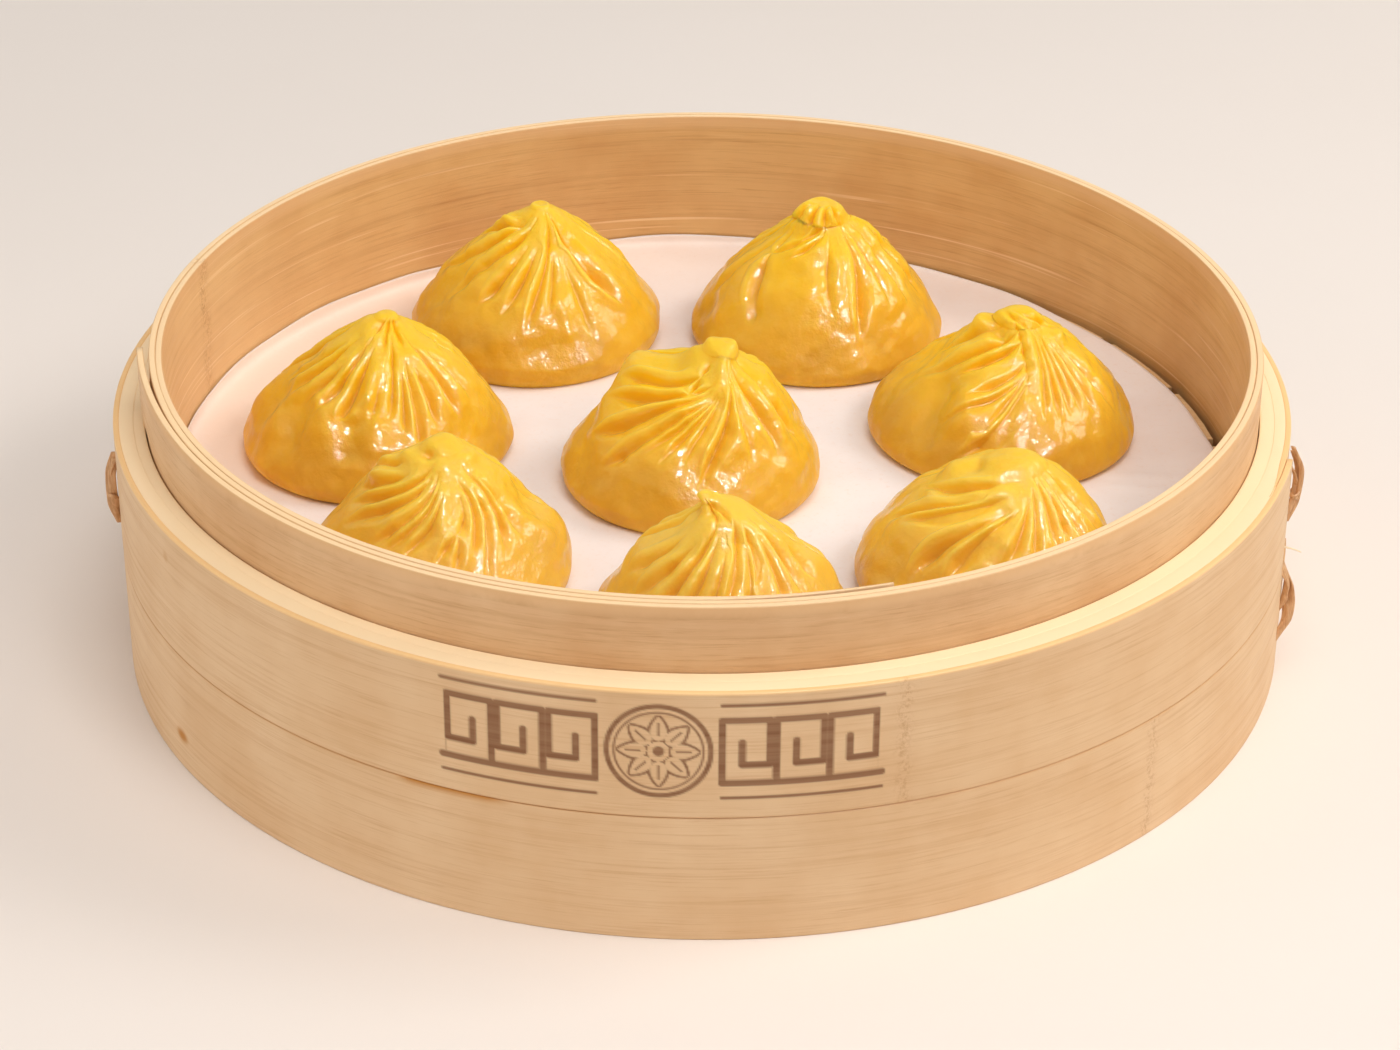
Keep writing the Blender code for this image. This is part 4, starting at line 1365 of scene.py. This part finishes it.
            (2.2, 2.8, 0.4, -118, 0.40, -113, 0.55, -104, 0.66, -84, 0.77),
            (1.5, 2.2, 0.2, -92, 0.50, -84, 0.61, -79, 0.71, -72, 0.82),
            (1.1, 1.8, 0.1, -74, 0.52, -71, 0.64, -68, 0.76, -66, 0.86),
            (1.3, 1.9, 0.1, -58, 0.52, -56, 0.66, -54, 0.80, -56, 0.90),
            (1.0, 1.7, 0.1, -47, 0.56, -45, 0.70, -45, 0.88),
            (1.2, 2.0, 0.1, -34, 0.50, -34, 0.68, -36, 0.90),
            (1.0, 2.0, 0.1, -18, 0.48, -18, 0.70, -22, 0.90),
            (1.2, 2.6, 0.3, -178, 0.50, -166, 0.62, -148, 0.72, -124, 0.80)),
        "swells": ((0.9, 2.0, -124, 0.42, -116, 0.60, -92, 0.74), (0.8, 1.8, -104, 0.46, -84, 0.68),
                   (-0.9, 3.0, -150, 0.24, -152, 0.50)),
        "bulges": ((1.8, 4, 3, 166, 0.82), (1.3, 6, 6, -158, 0.48), (0.6, 5, 4, -100, 0.32),
                   (-0.8, 2.0, 1.2, 178, 0.90), (0.8, 3.0, 2.0, -170, 0.72)),
    },
}

# %% [markdown]
# ## Dough
#
# Steamed dough is a little see-through, so light that enters it comes out yellow nearby: that is
# subsurface scattering.  A wet skin lies over it, which the coat gives.  Painted shade and glow
# make the creases deeper in colour, and painted light makes the raised ropes paler, so the colour
# follows the number that each vertex carries.  It also gets brighter towards the peak and browner
# low down where the filling shows, and painted light makes the front row a little paler.

# %% The dough finish
FOOT_COLOUR = linear(228, 173, 50)
PEAK_COLOUR = linear(249, 194, 14)
FILLING_COLOUR = linear(206, 150, 50)
MOTTLE_COLOUR = linear(242, 200, 84)
CREASE_PAINTED_SHADE = linear(236, 178, 52)
ROPE_PAINTED_LIGHT = linear(252, 214, 84)
FRONT_PAINTED_LIGHT = linear(250, 214, 126)

dough_finish, tree, shader = new_finish("dumpling_dough")
place = add_node(tree, "ShaderNodeTexCoord").outputs["Object"]
crease_share = field_of(tree, "crease")
level_share = field_of(tree, "level")
mottle = noise(tree, place, 190.0, 4.0, 0.6)
filling = noise(tree, place, 85.0, 3.0, 0.5, 0.6)
low_down = spread(tree, level_share, 0.52, 0.22)
filling_shows = calculated(tree, "MULTIPLY", spread(tree, filling, 0.44, 0.62), low_down)
colour = mixed(tree, spread(tree, level_share, 0.15, 0.75), FOOT_COLOUR, PEAK_COLOUR)
colour = mixed(tree, calculated(tree, "MULTIPLY", filling_shows, 0.5), colour, FILLING_COLOUR)
colour = mixed(tree, spread(tree, mottle, 0.5, 0.72, 0.0, 0.35), colour, MOTTLE_COLOUR)
# Painted shade and glow: the creases are made deeper in colour.
colour = mixed(tree, spread(tree, crease_share, -0.05, -0.8, 0.0, 0.5), colour, CREASE_PAINTED_SHADE)
# Painted light: the raised ropes are made paler, as if they catch more light.
colour = mixed(tree, spread(tree, crease_share, 0.05, 0.45, 0.0, 0.4), colour, ROPE_PAINTED_LIGHT)
# Painted light: the front row of dumplings, nearest the front lamps, is made paler.
to_the_back = add_node(tree, "ShaderNodeSeparateXYZ", {"Vector": place}).outputs["Y"]
front_light_share = spread(tree, to_the_back, -0.010, -0.066, 0.0, 0.2)
colour = mixed(tree, front_light_share, colour, FRONT_PAINTED_LIGHT)
tree.links.new(colour, shader.inputs["Base Color"])
shader.inputs["Subsurface Weight"].default_value = 0.6
shader.inputs["Subsurface Radius"].default_value = (1.0, 0.75, 0.3)
shader.inputs["Subsurface Scale"].default_value = 0.0026
shader.inputs["Roughness"].default_value = 0.42
shader.inputs["Specular IOR Level"].default_value = 0.12
wet = spread(tree, level_share, 0.06, 0.36, 0.08, 0.66)
wet = calculated(tree, "MULTIPLY", wet, spread(tree, level_share, 0.72, 0.92, 1.0, 0.5))
tree.links.new(wet, shader.inputs["Coat Weight"])
shader.inputs["Coat Roughness"].default_value = 0.05
fine = noise(tree, place, 1300.0, 3.0, 0.6)
ripples = noise(tree, place, 330.0, 4.0, 0.55)
grainy = spread(tree, noise(tree, place, 110.0, 2.0), 0.45, 0.62, 0.03, 0.28)
grainy = calculated(tree, "MULTIPLY", grainy, spread(tree, level_share, 0.7, 0.35, 0.3, 1.0))
dough_height = calculated(tree, "ADD", ripples, calculated(tree, "MULTIPLY", fine, grainy))
relief = add_node(tree, "ShaderNodeBump", {"Height": dough_height, "Strength": 1.0,
                                           "Distance": 0.00036})
tree.links.new(relief.outputs[0], shader.inputs["Normal"])
tree.links.new(relief.outputs[0], shader.inputs["Coat Normal"])

print("the dough finish is ready")

# %% Make the dumplings
DOUGH_SEED = 100
BACK_STEP = 15.0


def back_creases(shape, draw):
    """Plain pleats over the far side: even steps with a maker's unevenness."""
    start, stop = shape["back"]
    made = []
    for degrees in np.arange(start, stop, BACK_STEP):
        degrees = degrees + draw.uniform(-4, 4)
        foot, top = draw.uniform(0.32, 0.50), draw.uniform(0.86, 0.93)
        made.append((draw.uniform(0.7, 1.4), draw.uniform(1.6, 2.6), draw.uniform(0, 0.4),
                     degrees, foot, degrees + draw.uniform(-2, 5), (foot + top) / 2,
                     degrees + draw.uniform(-3, 10), top))
    return made


def soft_lumps(points, draw, reach, shortest, longest, waves=12):
    """Uneven filling: waves of random direction, between two lengths."""
    total = np.zeros(len(points))
    for _ in range(waves):
        direction = draw.normal(size=3)
        direction = direction / np.linalg.norm(direction)
        wave = 2 * math.pi / draw.uniform(shortest, longest)
        total += np.sin(points @ direction * wave + draw.uniform(0, 2 * math.pi))
    return reach * total / math.sqrt(waves)


def make_dumpling(number, name, shape):
    """Turned form, moved along its normals by pleats, swells, bulges and lumps."""
    draw = np.random.default_rng(DOUGH_SEED + number)
    levels = even_levels(shape)
    around = np.linspace(0, 2 * math.pi, DOUGH_AROUND, endpoint=False)
    form = form_point(shape, around[None, :], levels[:, None])
    normals = form_normals(form).reshape(-1, 3)
    points = form.reshape(-1, 3)
    level = np.broadcast_to(levels[:, None], form.shape[:2]).reshape(-1)
    pressed = pleat_relief(points, normals, shape, [*shape["creases"], *back_creases(shape, draw)])
    swollen = soft_lumps(points, draw, 0.32 * MM, 8 * MM, 20 * MM)
    swollen += soft_lumps(points, draw, 0.11 * MM, 3 * MM, 7 * MM)
    for given in shape["swells"]:
        swollen += swell(points, normals, shape, *given)
    for given in shape["bulges"]:
        swollen += bulge(points, shape, *given)
    held = smoothstep(0.02, 0.14, level) * (1 - 0.8 * smoothstep(0.985, 1.0, level))
    moved = points + normals * ((pressed + swollen) * held)[:, None]
    moved[:, 2] -= SINK * (1 - smoothstep(0, 0.12, level))
    moved = moved.reshape(form.shape)
    ends = (moved[0].mean(axis=0), moved[-1].mean(axis=0))
    fields = {"crease": np.clip(pressed / (1.2 * MM), -1, 1), "level": level}
    piece = surface(name + "_dough", moved, dough_finish, ends, fields)
    settle(piece, "dumpling_skin", name)


for number, (name, shape) in enumerate(DUMPLINGS.items(), 1):
    make_dumpling(number, name, shape)

# %% [markdown]
# ## Floor and light
#
# A plain pale floor, and soft studio light.  The key lamp stands high at the right and a second
# one hangs overhead, two fills, low at the left and at the front right, open the shadows, and a
# pale surrounding gives the rest.  Two small lamps light nothing: they only show as glints on
# the wet dough.

# %% Make the floor and the lamps
FLOOR_HALF = 3.0
SOFT_WHITE = (1.0, 0.98, 0.95)
BASKET_MIDDLE = Vector((0, 0, 0.03))

floor_mesh = bpy.data.meshes.new("floor")
floor_mesh.from_pydata([(-FLOOR_HALF, -FLOOR_HALF, 0), (FLOOR_HALF, -FLOOR_HALF, 0),
                        (FLOOR_HALF, FLOOR_HALF, 0), (-FLOOR_HALF, FLOOR_HALF, 0)],
                       [], [(0, 1, 2, 3)])
floor = bpy.data.objects.new("floor", floor_mesh)
bpy.context.scene.collection.objects.link(floor)
floor_finish, tree, shader = new_finish("floor_finish")
place = add_node(tree, "ShaderNodeTexCoord").outputs["Object"]
tint = mixed(tree, noise(tree, place, 6.0), linear(236, 226, 218), linear(240, 231, 224))
tree.links.new(tint, shader.inputs["Base Color"])
shader.inputs["Roughness"].default_value = 0.7
floor_mesh.materials.append(floor_finish)
floor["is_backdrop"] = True


def lamp(name, place, size, power, tint):
    """A square soft lamp that faces the middle of the basket."""
    data = bpy.data.lights.new(name, "AREA")
    data.shape = "SQUARE"
    data.size = size
    data.energy = power
    data.color = tint
    made = bpy.data.objects.new(name, data)
    bpy.context.scene.collection.objects.link(made)
    made.location = place
    made.rotation_mode = "QUATERNION"
    made.rotation_quaternion = (Vector(place) - BASKET_MIDDLE).to_track_quat("Z", "Y")
    return made


lamp("key", (0.85, 0.05, 0.78), 0.45, 4.8, (1.0, 0.97, 0.93))
overhead = lamp("overhead", (0.10, -0.32, 1.10), 0.50, 3.9, SOFT_WHITE)
overhead.visible_glossy = False
left_fill = lamp("left_fill", (-1.2, -0.25, 0.28), 0.50, 2.6, SOFT_WHITE)
left_fill.visible_glossy = False
lamp("front_fill", (0.45, -0.70, 0.80), 0.30, 1.2, SOFT_WHITE)
for name, place, size, power in (("front_glint", (0.45, -0.70, 0.80), 0.18, 20.0),
                                 ("top_glint", (0.05, -0.36, 1.08), 0.12, 9.0)):
    glint = lamp(name, place, size, power, (1.0, 0.96, 0.90))
    glint.visible_diffuse = False

world = bpy.data.worlds.new("studio")
bpy.context.scene.world = world
world.use_nodes = True
surroundings = world.node_tree.nodes["Background"]
surroundings.inputs["Color"].default_value = (1.0, 0.97, 0.94, 1.0)
surroundings.inputs["Strength"].default_value = 0.48
print("the scene has", len(bpy.data.lights), "lamps")

# %% [markdown]
# ## The size of the model
#
# The new surfaces must fill the same box as the CAD model.  Both boxes are printed, in mm.

# %% Print the two boxes
NEW_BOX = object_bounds()
for word, low_corner, high_corner in (("CAD", *CAD_BOX), ("visual", *NEW_BOX)):
    print(word, "box in mm:", [round((h - l) / MM, 1) for l, h in zip(low_corner, high_corner)])
